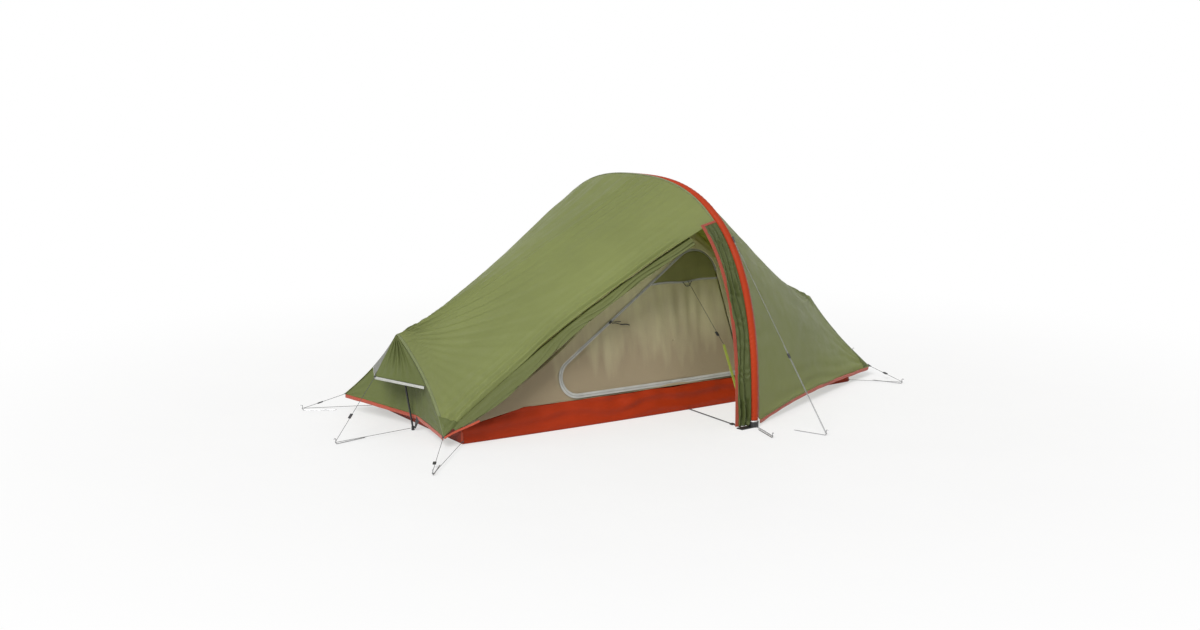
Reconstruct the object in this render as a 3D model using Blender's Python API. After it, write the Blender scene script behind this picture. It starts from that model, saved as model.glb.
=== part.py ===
"""Single-hoop backpacking tent: flysheet over an inflatable hoop beam, with an inner tent, guylines and pegs.

X runs along the tent from the low foot end (-X) to the head end (+X), the porch is on the -Y side and Z is up.
The origin is on the underside of the groundsheet, below the middle of the hoop.
All sizes are in metres.
"""

import math

import bmesh
import bpy
import numpy as np
from mathutils import Matrix, Vector

# Clearances between neighbouring pieces
TOUCH_GAP = 0.0003
SEAM_GAP = 0.003
CORD_HOLE_GAP = 0.0005

# Hoop beam, its sleeve and its base cups
HOOP_HEIGHT = 1.05
HOOP_SPAN = 1.576
HOOP_POWER = 2.69
SLEEVE_RADIUS = 0.019
SLEEVE_WALL = 0.0012
SLEEVE_BASE_HEIGHT = 0.030
BEAM_BASE_HEIGHT = 0.008
HOOP_STEPS = 30
TUBE_SIDES = 12
CUP_WALL = 0.004
CUP_HEIGHT = 0.024
CUP_FOOT_LENGTH = 0.085
CUP_FOOT_WIDTH = 0.034
CUP_FOOT_THICKNESS = 0.004

# Inflation valve on the porch side of the beam
VALVE_HEIGHT = 0.20
VALVE_STEM_RADIUS = 0.004
VALVE_STEM_LENGTH = 0.009
VALVE_COLLAR_RADIUS = 0.008
VALVE_COLLAR_LENGTH = 0.003
VALVE_CAP_WALL = 0.0018

# Flysheet: peaks over the two end struts, pegged corners and the top of the door
FABRIC = 0.0015
FAR_SIDE_WIDTH = 0.619
FOOT_PEAK_PLACE = (-1.217, -0.009, 0.413)
HEAD_PEAK_PLACE = (1.266, -0.069, 0.342)
FOOT_CORNER_X = -1.246
FOOT_HALF_WIDTH = 0.405
FOOT_NEAR_CORNER_HEIGHT = 0.045
FOOT_FAR_CORNER_HEIGHT = 0.085
HEAD_CORNER_X = 1.211
HEAD_NEAR_HALF_WIDTH = 0.541
HEAD_FAR_HALF_WIDTH = 0.660
HEAD_CORNER_HEIGHT = 0.049
HOOP_HEM_HEIGHT = 0.040
DOOR_TOP_HEIGHT = 0.872
SEAM_BOW = 0.030
RIDGE_SAG = 0.040
DOOR_EDGE_BOW = 0.080
HEM_BOW = 0.020
EDGE_SPREAD = 1.5
FOOT_EDGE_TOP_DEGREES = 34.0
FOOT_EDGE_NEAR_DEGREES = 85.0
HEAD_EDGE_DEGREES = 90.0
EDGE_LIFT = 0.005
CANOPY_ROWS = 24
CANOPY_COLUMNS = 10

# End walls, vent hoods and the stiff stays in the lips of the hoods
HOOD_SEAM_SHARE = 0.52
FOOT_HOOD_TIP_PLACE = (-1.318, 0.0, 0.246)
HEAD_HOOD_TIP_PLACE = (1.352, -0.059, 0.200)
HOOD_TOP_SHARE = 0.10
HOOD_COLUMNS = 10
HOOD_ROWS = 6
STAY_WIDTH = 0.011
STAY_THICKNESS = 0.002
STAY_INSET_SHARE = 0.03
END_WALL_TOP_SHARE = 0.12
END_WALL_RECESS = 0.030
END_WALL_HEM_RECESS = 0.080
END_WALL_POWER = 1.2
END_HEM_MID_HEIGHT = 0.062

# Hem bindings
BINDING_WIDTH = 0.013
BINDING_THICKNESS = 0.0025

# Storm flap beside the hoop and the rolled door along the door's edge
FLAP_WIDTH = 0.068
FLAP_OUTSET = 0.006
FLAP_TAPER = 0.022
ROLL_START = 0.09
ROLL_END = 0.965
ROLL_WIDEST_SHARE = 0.80
ROLL_TOP_WIDTH = 0.042
ROLL_LOW_WIDTH = 0.080
ROLL_END_WIDTH = 0.024
ROLL_TOP_THICKNESS = 0.026
ROLL_END_THICKNESS = 0.006
ROLL_FOLDS = 4
ROLL_FOLD_DEPTH = 0.13
ROLL_FOLD_TWIST = 3.0
ROLL_STEPS = 24
ROLL_SIDES = 16

# End struts
STRUT_RADIUS = 0.0042
STRUT_TOP_GAP = 0.022
FOOT_STRUT_PLACE = (-1.178, -0.064)
HEAD_STRUT_PLACE = (1.196, -0.069)
STRUT_TIP_RADIUS = 0.007
STRUT_TIP_HEIGHT = 0.016

# Inner tent: plan, tub, walls and roof
INNER_HALF_WIDTH = 0.524
INNER_TAPER = 0.0755
INNER_CURVE = -0.0265
WALL_LEAN = 0.155
TUB_FOOT_X = -1.150
TUB_HEAD_X = 1.015
TUB_FOOT_SKEW = 0.090
TUB_HEIGHT = 0.115
TUB_CORNER_HEIGHT = 0.065
TUB_SLOPE_LENGTH = 0.30
INNER_END_LEAN = 0.045
INNER_PEAK_X = 0.03
INNER_PEAK_ROUNDING = 0.12
INNER_PEAK_HEIGHT = 0.930
INNER_FOOT_HEIGHT = 0.300
INNER_HEAD_HEIGHT = 0.260
ROOF_SAG = 0.030
ROOF_END_POWER = 1.15
ROOF_PEAK_POWER = 2.3
ROOF_ROUND_LENGTH = 0.75
SHOULDER_PEAK_HEIGHT = 0.800
SHOULDER_END_HEIGHT = 0.085
SHOULDER_SAG = 0.080
INNER_STATIONS = 15
INNER_COLUMNS = 14
WALL_ROWS = 4

# Inner door, its zip, the mesh vent in its top and the zip slider
DOOR_FOOT_X = -0.86
DOOR_TOP_X = 0.19
DOOR_HEAD_X = 0.33
DOOR_SILL_RISE = 0.018
DOOR_APEX_HEIGHT = 0.79
DOOR_FOOT_RADIUS = 0.080
DOOR_TOP_RADIUS = 0.130
DOOR_HEAD_RADIUS = 0.040
DOOR_GAP = 0.005
DOOR_CORNER_STEPS = 7
VENT_SILL_HEIGHT = 0.575
ZIP_WIDTH = 0.014
ZIP_THICKNESS = 0.0012
ZIP_STANDOFF = 0.0025
ZIP_STEP = 0.06
SLIDER_X = -0.385
SLIDER_LENGTH = 0.016
SLIDER_WIDTH = 0.009
SLIDER_THICKNESS = 0.004
PULL_LENGTH = 0.050
PULL_RADIUS = 0.0016
PULL_SWING = 0.22

# Tension cord from the inner door to the near leg of the hoop, with its runner and strap
CORD_TOP = (0.055, 0.575)
CORD_STANDOFF = 0.008
TENSION_RUNNER_SHARE = 0.84
STRAP_TOP_INSET = 0.184
STRAP_TOP_HEIGHT = 0.335
STRAP_LOW_INSET = 0.057
STRAP_LOW_HEIGHT = 0.060
STRAP_TOP_X = -0.008
STRAP_LOW_X = -0.010
STRAP_WIDTH = 0.015
STRAP_THICKNESS = 0.0018

# Porch strap on the ground between the groundsheet and the near cup, with its buckle
PORCH_STRAP_START_X = 0.0
PORCH_STRAP_END_X = -0.057
PORCH_STRAP_WIDTH = 0.010
PORCH_STRAP_THICKNESS = 0.0020
PORCH_BUCKLE_LENGTH = 0.020
PORCH_BUCKLE_RIM = 0.0028
PORCH_BUCKLE_WALL = 0.0015
PORCH_BUCKLE_SHARE = 0.16

# Guylines, runners and pegs
CORD_RADIUS = 0.0010
CORD_TURN_STEPS = 6
RUNNER_LENGTH = 0.022
RUNNER_WALL = 0.0022
PEG_RADIUS = 0.00175
PEG_LENGTH = 0.155
PEG_POINT_LENGTH = 0.012
PEG_POINT_SHARE = 0.3
PEG_BEND = 0.006
PEG_HEAD_HEIGHT = 0.020
PEG_HOOK_RADIUS = 0.005
PEG_HOOK_DEGREES = 153.0
CORD_ON_PEG_HEIGHT = 0.0095
GROUND_LOOP_HEIGHT = 0.010
LINE_CLEARANCE = 0.006
HOOP_GUY_HEIGHT = 0.780
HOOP_GUY_X = 0.010
DOUBLED_GUY_SHARE = 0.45
DOUBLED_LOOP_SHARE = 0.90
PEG_PLACES = {
    "foot_near": (-1.504, -0.728),
    "foot_far": (-1.371, 0.563),
    "head_near": (1.182, -0.773),
    "head_far": (1.417, 0.773),
    "foot_hood": (-1.556, -0.073),
    "head_hood": (1.600, -0.084),
}
HOOP_FOOT_PEG_X = -0.084
HOOP_FOOT_PEG_REACH = 0.197
HOOP_GUY_PEG_X = 0.125
HOOP_GUY_PEG_REACH = 0.307
RUNNER_SHARES = {
    "foot_near": 0.72,
    "foot_far": 0.55,
    "head_near": 0.45,
    "head_far": 0.50,
    "foot_hood": 0.61,
    "head_hood": 0.61,
    "hoop_near": 0.60,
    "hoop_far": 0.60,
}

# Finishes: colour, roughness and metallic value
FINISHES = {
    "fly_fabric": ((0.205, 0.250, 0.102), 0.45, 0.0),
    "orange_fabric": ((0.580, 0.090, 0.028), 0.55, 0.0),
    "groundsheet_fabric": ((0.370, 0.048, 0.014), 0.55, 0.0),
    "inner_fabric": ((0.360, 0.290, 0.205), 0.60, 0.0),
    "vent_mesh": ((0.060, 0.070, 0.030), 0.80, 0.0),
    "grey_tape": ((0.400, 0.415, 0.420), 0.40, 0.0),
    "beam_bladder": ((0.700, 0.700, 0.680), 0.35, 0.0),
    "black_plastic": ((0.012, 0.012, 0.013), 0.40, 0.0),
    "black_webbing": ((0.015, 0.015, 0.016), 0.80, 0.0),
    "lime_webbing": ((0.330, 0.380, 0.030), 0.65, 0.0),
    "grey_cord": ((0.260, 0.265, 0.270), 0.70, 0.0),
    "peg_alloy": ((0.420, 0.420, 0.430), 0.35, 1.0),
    "strut_fibre": ((0.018, 0.018, 0.020), 0.30, 0.0),
}

# Values worked out from the sizes above; a place's Y counts from the tent's axis
TENT_AXIS_Y = HOOP_SPAN / 2 - FAR_SIDE_WIDTH


def from_axis(place):
    """A place given from the tent's axis, in the shared frame."""
    return (place[0], TENT_AXIS_Y + place[1], *place[2:])


FOOT_PEAK, HEAD_PEAK = from_axis(FOOT_PEAK_PLACE), from_axis(HEAD_PEAK_PLACE)
FOOT_HOOD_TIP, HEAD_HOOD_TIP = from_axis(FOOT_HOOD_TIP_PLACE), from_axis(HEAD_HOOD_TIP_PLACE)
FOOT_STRUT_BASE, HEAD_STRUT_BASE = from_axis(FOOT_STRUT_PLACE), from_axis(HEAD_STRUT_PLACE)
BEAM_RADIUS = SLEEVE_RADIUS - SLEEVE_WALL - 2 * TOUCH_GAP
LEG_Y = HOOP_SPAN / 2 - SLEEVE_RADIUS
CUP_RADIUS = BEAM_RADIUS + 2 * TOUCH_GAP + CUP_WALL
CORD_PITCH = 2 * (PEG_RADIUS + CORD_RADIUS + TOUCH_GAP)
TENT_CENTRE = np.array([0.0, TENT_AXIS_Y, HOOP_HEIGHT / 5])
STRAP_TOP = (STRAP_TOP_X, -LEG_Y + STRAP_TOP_INSET, STRAP_TOP_HEIGHT)
STRAP_LOW = (STRAP_LOW_X, -LEG_Y + STRAP_LOW_INSET, STRAP_LOW_HEIGHT)
PEGS = {
    **{name: from_axis(place) for name, place in PEG_PLACES.items()},
    "hoop_foot_near": (HOOP_FOOT_PEG_X, -LEG_Y - HOOP_FOOT_PEG_REACH),
    "hoop_foot_far": (HOOP_FOOT_PEG_X, LEG_Y + HOOP_FOOT_PEG_REACH),
    "hoop_near": (HOOP_GUY_PEG_X, -LEG_Y - HOOP_GUY_PEG_REACH),
    "hoop_far": (HOOP_GUY_PEG_X, LEG_Y + HOOP_GUY_PEG_REACH),
}


# Small helpers

def stack(*columns):
    """Joins coordinate columns, each a number or an array, into an array of points."""
    return np.stack(np.broadcast_arrays(*columns), axis=-1).astype(float)


def mix(start, end, share):
    """Points from start to end at the given share of the way."""
    share = np.asarray(share, dtype=float)[..., None]
    return (1 - share) * np.asarray(start, dtype=float) + share * np.asarray(end, dtype=float)


def toward(start, end, distance):
    """The point at a distance from start on the way to end."""
    start, end = np.asarray(start, dtype=float), np.asarray(end, dtype=float)
    return start + (end - start) / np.linalg.norm(end - start) * distance


def finish(name):
    """The Principled material of a finish, made when it is first asked for."""
    made = bpy.data.materials.get(name)
    if made is None:
        colour, roughness, metallic = FINISHES[name]
        made = bpy.data.materials.new(name)
        made.use_nodes = True
        shader = made.node_tree.nodes["Principled BSDF"]
        shader.inputs["Base Color"].default_value = (*colour, 1.0)
        shader.inputs["Roughness"].default_value = roughness
        shader.inputs["Metallic"].default_value = metallic
    return made


# Mesh makers

def add_object(name, data, finish_name):
    """Puts mesh or curve data into the scene as a named object of one finish."""
    if not data.materials:
        data.materials.append(finish(finish_name))
    made = bpy.data.objects.new(name, data)
    bpy.context.scene.collection.objects.link(made)
    return made


def looking_out(points, faces):
    """The faces, turned over if on the whole they look towards the middle of the tent."""
    flux = 0.0
    for face in faces:
        ring = points[list(face)]
        area = np.cross(ring, np.roll(ring, -1, axis=0)).sum(axis=0) / 2
        flux += area @ (ring.mean(axis=0) - TENT_CENTRE)
    return faces if flux > 0 else [face[::-1] for face in faces]


def mesh_object(name, points, faces, finish_name, smooth=True):
    """A mesh of the given points and faces, facing away from the middle of the tent."""
    work = bmesh.new()
    verts = [work.verts.new(point) for point in points]
    for face in looking_out(points, faces):
        work.faces.new([verts[corner] for corner in face])
    bmesh.ops.remove_doubles(work, verts=work.verts, dist=TOUCH_GAP / 3)
    data = bpy.data.meshes.new(name)
    work.to_mesh(data)
    work.free()
    if smooth:
        data.shade_smooth()
        data.set_sharp_from_angle(angle=math.radians(40))
    return add_object(name, data, finish_name)


def thicken(made, thickness, offset=-1.0):
    """Gives a sheet its thickness, inwards from its outer side unless offset says otherwise."""
    shell = made.modifiers.new("Thickness", "SOLIDIFY")
    shell.thickness = thickness
    shell.offset = offset
    return made


def sheet(name, grid, thickness, finish_name, closed=False, offset=-1.0):
    """A sheet through a grid of points; closed joins the last column to the first one."""
    rows, columns = grid.shape[:2]
    faces = []
    for row in range(rows - 1):
        for column in range(columns if closed else columns - 1):
            after = (column + 1) % columns
            faces.append((row * columns + column, row * columns + after,
                          (row + 1) * columns + after, (row + 1) * columns + column))
    return thicken(mesh_object(name, grid.reshape(-1, 3), faces, finish_name), thickness, offset)


def loft(name, rings, finish_name, smooth=True):
    """A closed solid through rings of points, with flat caps at both ends."""
    count, sides = rings.shape[:2]
    faces = [tuple(range(sides))[::-1], tuple((count - 1) * sides + side for side in range(sides))]
    for ring in range(count - 1):
        for side in range(sides):
            after = (side + 1) % sides
            faces.append((ring * sides + side, ring * sides + after,
                          (ring + 1) * sides + after, (ring + 1) * sides + side))
    made = mesh_object(name, rings.reshape(-1, 3), faces, finish_name, smooth)
    work = bmesh.new()
    work.from_mesh(made.data)
    bmesh.ops.recalc_face_normals(work, faces=work.faces)
    work.to_mesh(made.data)
    work.free()
    return made


def tube_curve(name, points, radius, finish_name, sides_level=2):
    """Curve data for a round solid along a line of points, with closed ends."""
    data = bpy.data.curves.new(name, "CURVE")
    data.dimensions = "3D"
    data.bevel_depth = radius
    data.bevel_resolution = sides_level
    data.use_fill_caps = True
    data.render_resolution_u = 0
    data.materials.append(finish(finish_name))
    line = data.splines.new("POLY")
    line.points.add(len(points) - 1)
    for knot, point in zip(line.points, points):
        knot.co = (*point, 1.0)
    return data


def frame_between(start, end, side):
    """A matrix at start whose Z axis points to end and whose X axis lies close to side."""
    axis = (Vector(end) - Vector(start)).normalized()
    side = Vector(side)
    across = (side - axis * side.dot(axis)).normalized()
    turn = Matrix((across, axis.cross(across), axis)).transposed()
    return Matrix.Translation(start) @ turn.to_4x4()


def cylinder(name, start, end, radius, finish_name, sides=16):
    """A solid cylinder between two points."""
    turn = np.linspace(0, 2 * math.pi, sides, endpoint=False) + math.pi / sides
    run = Vector(end) - Vector(start)
    place = frame_between(start, end, run.orthogonal())
    length = run.length
    rings = [[place @ Vector((radius * math.cos(angle), radius * math.sin(angle), height)) for angle in turn]
             for height in (0.0, length)]
    return loft(name, np.array(rings), finish_name)


def box(name, size, matrix, finish_name, chamfer=0.0):
    """A box of the given size centred on the matrix, with chamfered edges."""
    work = bmesh.new()
    bmesh.ops.create_cube(work, size=1.0)
    bmesh.ops.scale(work, verts=work.verts, vec=size)
    if chamfer:
        bmesh.ops.bevel(work, geom=work.edges[:], offset=chamfer, segments=1, affect="EDGES")
    bmesh.ops.transform(work, matrix=matrix, verts=work.verts)
    data = bpy.data.meshes.new(name)
    work.to_mesh(data)
    work.free()
    return add_object(name, data, finish_name)


def set_origin(made, point):
    """Moves an object's origin to a point on its joint's axis and leaves its shape where it is."""
    made.data.transform(Matrix.Translation(-Vector(point)))
    made.location = point
    return made


def combine(made, other, operation):
    """Joins, cuts or limits a solid with another one, which stays as a hidden guide."""
    change = made.modifiers.new(operation.title(), "BOOLEAN")
    change.operation = operation
    change.solver = "EXACT"
    change.object = other
    other.hide_render = True
    other.display_type = "WIRE"
    return made


# Hoop

def hoop_line(inset, shares):
    """Y and Z on the hoop's outline moved inwards by inset.

    A share is -1 at the near base, 0 at the top and 1 at the far base, counted along the line.
    The outline is a superellipse: |2y / span|^power + |z / height|^power = 1.
    """
    angle = np.linspace(-math.pi / 2, math.pi / 2, 4001)
    sine, cosine = np.sin(angle), np.cos(angle)
    y = HOOP_SPAN / 2 * np.sign(sine) * np.abs(sine) ** (2 / HOOP_POWER)
    z = HOOP_HEIGHT * np.abs(cosine) ** (2 / HOOP_POWER)
    step_y, step_z = np.gradient(y), np.gradient(z)
    step = np.hypot(step_y, step_z)
    y, z = y + inset * step_z / step, z - inset * step_y / step
    length = np.concatenate([[0.0], np.cumsum(np.hypot(np.diff(y), np.diff(z)))])
    place = 2 * length / length[-1] - 1
    return np.interp(shares, place, y), np.interp(shares, place, z)


def hoop_share(height):
    """The share, without its sign, at which the hoop's centreline passes a height."""
    shares = np.linspace(-1.0, 0.0, 2001)
    return -float(np.interp(height, hoop_line(SLEEVE_RADIUS, shares)[1], shares))


def hoop_outward(shares):
    """Y and Z of the direction away from the tent, square to the hoop's centreline."""
    before = hoop_line(SLEEVE_RADIUS, shares - 1e-3)
    after = hoop_line(SLEEVE_RADIUS, shares + 1e-3)
    run_y, run_z = after[0] - before[0], after[1] - before[1]
    size = np.hypot(run_y, run_z)
    return -run_z / size, run_y / size


def hoop_tube(radius, shares):
    """Rings of a round tube along the hoop's centreline."""
    y, z = (line[:, None] for line in hoop_line(SLEEVE_RADIUS, shares))
    out_y, out_z = (line[:, None] for line in hoop_outward(shares))
    turn = np.linspace(0, 2 * math.pi, TUBE_SIDES, endpoint=False)[None, :]
    return stack(radius * np.sin(turn), y + radius * np.cos(turn) * out_y, z + radius * np.cos(turn) * out_z)


def make_hoop():
    """The sleeve, the beam inside it and the two base cups."""
    limit = hoop_share(SLEEVE_BASE_HEIGHT)
    shares = np.sort(np.append(np.linspace(-limit, limit, HOOP_STEPS + 1), -hoop_share(VALVE_HEIGHT)))
    sleeve = sheet("hoop_sleeve", hoop_tube(SLEEVE_RADIUS, shares), SLEEVE_WALL, "orange_fabric", closed=True)
    base = hoop_share(BEAM_BASE_HEIGHT)
    loft("air_beam", hoop_tube(BEAM_RADIUS, np.concatenate([[-base], shares, [base]])), "beam_bladder")
    for side, name in ((-1, "hoop_cup_near"), (1, "hoop_cup_far")):
        centre = side * LEG_Y
        cup = cylinder(name, (0, centre, 0), (0, centre, CUP_HEIGHT), CUP_RADIUS, "black_webbing", sides=20)
        foot_size = (CUP_FOOT_LENGTH, CUP_FOOT_WIDTH, CUP_FOOT_THICKNESS)
        foot_place = Matrix.Translation((-CUP_FOOT_LENGTH / 2, centre, CUP_FOOT_THICKNESS / 2))
        combine(cup, box(name + "_foot", foot_size, foot_place, "black_webbing"), "UNION")
        seat = cylinder(name + "_seat", (0, centre, BEAM_BASE_HEIGHT - TOUCH_GAP),
                        (0, centre, 2 * CUP_HEIGHT), CUP_RADIUS - CUP_WALL, "black_webbing", sides=20)
        combine(cup, seat, "DIFFERENCE")
    return sleeve


def make_valve(sleeve):
    """The inflation valve on the porch side of the near leg, with its screw cap."""
    leg_y, leg_z = (float(value) for value in hoop_line(SLEEVE_RADIUS, -hoop_share(VALVE_HEIGHT)))

    def on_axis(distance):
        """A point on the valve's axis at a distance from the middle of the beam."""
        return (0.0, leg_y + distance, leg_z)

    stem_start = BEAM_RADIUS + 2 * TOUCH_GAP
    collar_start = SLEEVE_RADIUS + 3 * TOUCH_GAP
    collar_end = collar_start + VALVE_COLLAR_LENGTH
    stem_end = collar_end + VALVE_STEM_LENGTH
    bore_radius = VALVE_STEM_RADIUS + CORD_HOLE_GAP
    bore_end = stem_end + CORD_HOLE_GAP

    hole = cylinder("valve_hole", on_axis(0.0), on_axis(stem_end), bore_radius, "orange_fabric")
    combine(sleeve, hole, "DIFFERENCE")
    stem = cylinder("beam_valve", on_axis(stem_start), on_axis(stem_end), VALVE_STEM_RADIUS, "peg_alloy")
    collar = cylinder("valve_collar", on_axis(collar_start), on_axis(collar_end), VALVE_COLLAR_RADIUS, "peg_alloy")
    combine(stem, collar, "UNION")
    cap = cylinder("valve_cap", on_axis(collar_end + 2 * TOUCH_GAP), on_axis(bore_end + VALVE_CAP_WALL),
                   bore_radius + VALVE_CAP_WALL, "black_plastic")
    set_origin(cap, on_axis(stem_end))
    bore = cylinder("cap_bore", on_axis(collar_start), on_axis(bore_end), bore_radius, "black_plastic")
    combine(cap, bore, "DIFFERENCE")


# Flysheet

def end_values(end):
    """Direction, peak, near corner, far corner, near limit on the hoop and near bow of one end."""
    if end == "foot":
        near = (FOOT_CORNER_X, TENT_AXIS_Y - FOOT_HALF_WIDTH, FOOT_NEAR_CORNER_HEIGHT)
        far = (FOOT_CORNER_X, TENT_AXIS_Y + FOOT_HALF_WIDTH, FOOT_FAR_CORNER_HEIGHT)
        return -1, FOOT_PEAK, near, far, hoop_share(DOOR_TOP_HEIGHT), DOOR_EDGE_BOW
    near = (HEAD_CORNER_X, TENT_AXIS_Y - HEAD_NEAR_HALF_WIDTH, HEAD_CORNER_HEIGHT)
    far = (HEAD_CORNER_X, TENT_AXIS_Y + HEAD_FAR_HALF_WIDTH, HEAD_CORNER_HEIGHT)
    return 1, HEAD_PEAK, near, far, hoop_share(HOOP_HEM_HEIGHT), HEM_BOW


def seam(end, share, far):
    """The curved seam from an end's peak, at share 0, to its near or far corner, at share 1."""
    sign, peak, near_corner, far_corner = end_values(end)[:4]
    share = np.asarray(share, dtype=float)
    points = mix(peak, far_corner if far else near_corner, share)
    points[..., 0] -= sign * SEAM_BOW * 4 * share * (1 - share)
    return points


def canopy_points(end, across, along):
    """Points of a canopy stretched between the hoop and one end's two seams.

    across is -1 at the door's edge or near hem, 0 on the ridge and 1 at the far hem;
    along is 0 at the hoop and 1 at the seams. Each point lies on a straight line from the hoop
    to a seam, drawn in towards the ridge along the free edges, and the ridge sags a little.
    The edge at the hoop lies beside the sleeve, at an angle from its top; the foot canopy's lies partly over it.
    """
    sign, _, _, _, near_limit, near_bow = end_values(end)
    across, along = np.broadcast_arrays(np.asarray(across, dtype=float), np.asarray(along, dtype=float))
    limit = np.where(across < 0, near_limit, hoop_share(HOOP_HEM_HEIGHT))
    bow = np.where(across < 0, near_bow, HEM_BOW)
    drawn = across * (1 - bow * 4 * along * (1 - along) * across ** 2)
    if end == "foot":
        near_share = np.clip(-drawn, 0.0, 1.0)
        edge_degrees = FOOT_EDGE_TOP_DEGREES + (FOOT_EDGE_NEAR_DEGREES - FOOT_EDGE_TOP_DEGREES) * near_share
    else:
        edge_degrees = HEAD_EDGE_DEGREES + 0.0 * drawn
    turn = np.radians(edge_degrees)
    reach = SLEEVE_RADIUS + FABRIC + TOUCH_GAP + EDGE_LIFT * np.cos(turn)
    aside, above = reach * np.sin(turn), reach * np.cos(turn)
    line, out = hoop_line(SLEEVE_RADIUS, drawn * limit), hoop_outward(drawn * limit)
    hoop_end = stack(sign * aside, line[0] + above * out[0], line[1] + above * out[1])
    share = np.abs(drawn) ** EDGE_SPREAD
    seam_end = np.where((across < 0)[..., None], seam(end, share, False), seam(end, share, True))
    points = hoop_end + along[..., None] * (seam_end - hoop_end)
    points[..., 2] -= RIDGE_SAG * 6.75 * along ** 2 * (1 - along) * np.cos(across * math.pi / 2) ** 2
    return points


def canopy_grid(end):
    """The grid of one canopy, with rows across it and columns along it."""
    across = np.linspace(-1, 1, CANOPY_ROWS + 1)[:, None]
    along = np.linspace(0, 1, CANOPY_COLUMNS + 1)[None, :]
    return canopy_points(end, across, along)


def end_wall_points(end, across, down):
    """Points of an end wall: across runs from the near seam to the far one, down from top to hem.

    The wall is drawn in behind its strut, least at the top and most at the hem.
    """
    sign, _, near_corner, far_corner = end_values(end)[:4]
    strut_y = (FOOT_STRUT_BASE if end == "foot" else HEAD_STRUT_BASE)[1]
    across, down = np.broadcast_arrays(np.asarray(across, dtype=float), np.asarray(down, dtype=float))
    share = END_WALL_TOP_SHARE + (1 - END_WALL_TOP_SHARE) * down
    near, far = seam(end, share, False), seam(end, share, True)
    near[..., 1] += 2 * SEAM_GAP
    far[..., 1] -= 2 * SEAM_GAP
    points = near + across[..., None] * (far - near)
    middle = (strut_y - near_corner[1]) / (far_corner[1] - near_corner[1])
    reach = np.where(across < middle, middle, 1 - middle)
    shape = 1 - (np.abs(across - middle) / reach) ** END_WALL_POWER
    recess = END_WALL_RECESS + (END_WALL_HEM_RECESS - END_WALL_RECESS) * down ** 2
    points[..., 0] -= sign * (SEAM_GAP + recess * shape)
    level = near_corner[2] + middle * (far_corner[2] - near_corner[2])
    points[..., 2] += (END_HEM_MID_HEIGHT - level) * shape * down
    return points


def hood_points(end, across, down):
    """Points of a vent hood: down runs from the peak to the lip, across from the near seam to the far one."""
    sign, peak = end_values(end)[:2]
    tip = FOOT_HOOD_TIP if end == "foot" else HEAD_HOOD_TIP
    across, down = np.broadcast_arrays(np.asarray(across, dtype=float), np.asarray(down, dtype=float))
    near, far = seam(end, down * HOOD_SEAM_SHARE, False), seam(end, down * HOOD_SEAM_SHARE, True)
    middle = mix(peak, tip, down)
    near_half = near + (2 * across)[..., None] * (middle - near)
    far_half = middle + (2 * across - 1)[..., None] * (far - middle)
    points = np.where((across < 0.5)[..., None], near_half, far_half)
    points[..., 0] += sign * SEAM_GAP
    return points


def make_flysheet_end(end):
    """One canopy with its end wall, vent hood and stay."""
    sheet("fly_" + end + "_canopy", canopy_grid(end), FABRIC, "fly_fabric")
    across = np.linspace(0, 1, HOOD_COLUMNS + 1)[:, None]
    wall = end_wall_points(end, across, np.linspace(0, 1, HOOD_ROWS + 1)[None, :])
    sheet("fly_" + end + "_end_wall", wall, FABRIC, "fly_fabric")
    hood = hood_points(end, across, np.linspace(HOOD_TOP_SHARE, 1, HOOD_ROWS + 1)[None, :])
    sheet(end + "_vent_hood", hood, FABRIC, "fly_fabric")
    lip = hood_points(end, np.linspace(STAY_INSET_SHARE, 1 - STAY_INSET_SHARE, HOOD_COLUMNS + 1), 1.0)
    drop = np.array([SEAM_GAP, SEAM_GAP + STAY_WIDTH])
    stay = lip[:, None, :] - stack(0.0, 0.0, drop)[None, :, :]
    sheet(end + "_hood_stay", stay, STAY_THICKNESS, "grey_tape")


def binding(name, hem):
    """A strip of binding that hangs just below a hem line."""
    top = FABRIC + 3 * TOUCH_GAP
    grid = hem[:, None, :] - stack(0.0, 0.0, np.array([top, top + BINDING_WIDTH]))[None, :, :]
    sheet(name, grid, BINDING_THICKNESS, "orange_fabric", offset=0.0)


def make_bindings():
    """The orange binding along the hems of both ends."""
    along = np.linspace(0.0, 1.0, CANOPY_COLUMNS + 1)
    across = np.linspace(0.0, 1.0, HOOD_COLUMNS + 1)
    foot_far = canopy_points("foot", 1.0, along)[1:-1]
    binding("foot_hem_binding", np.concatenate([foot_far, end_wall_points("foot", across[::-1], 1.0)]))
    head_near = canopy_points("head", -1.0, along)[1:-1]
    head_far = canopy_points("head", 1.0, along[::-1])[1:-1]
    head_end = end_wall_points("head", across, 1.0)
    binding("head_hem_binding", np.concatenate([head_near, head_end, head_far]))


def make_storm_flap():
    """The strip beside the sleeve that covers the door's zip, from the door's top to the ground."""
    shares = -np.linspace(hoop_share(DOOR_TOP_HEIGHT), hoop_share(SLEEVE_BASE_HEIGHT), CANOPY_ROWS + 1)
    columns = []
    for share in np.linspace(0.0, 1.0, 4):
        x = -(SLEEVE_RADIUS + FABRIC + TOUCH_GAP) - FLAP_WIDTH * share
        columns.append(stack(x, *hoop_line(SLEEVE_RADIUS - FLAP_OUTSET + FLAP_TAPER * share, shares)))
    sheet("storm_flap", np.stack(columns, axis=1), FABRIC, "fly_fabric")


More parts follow.
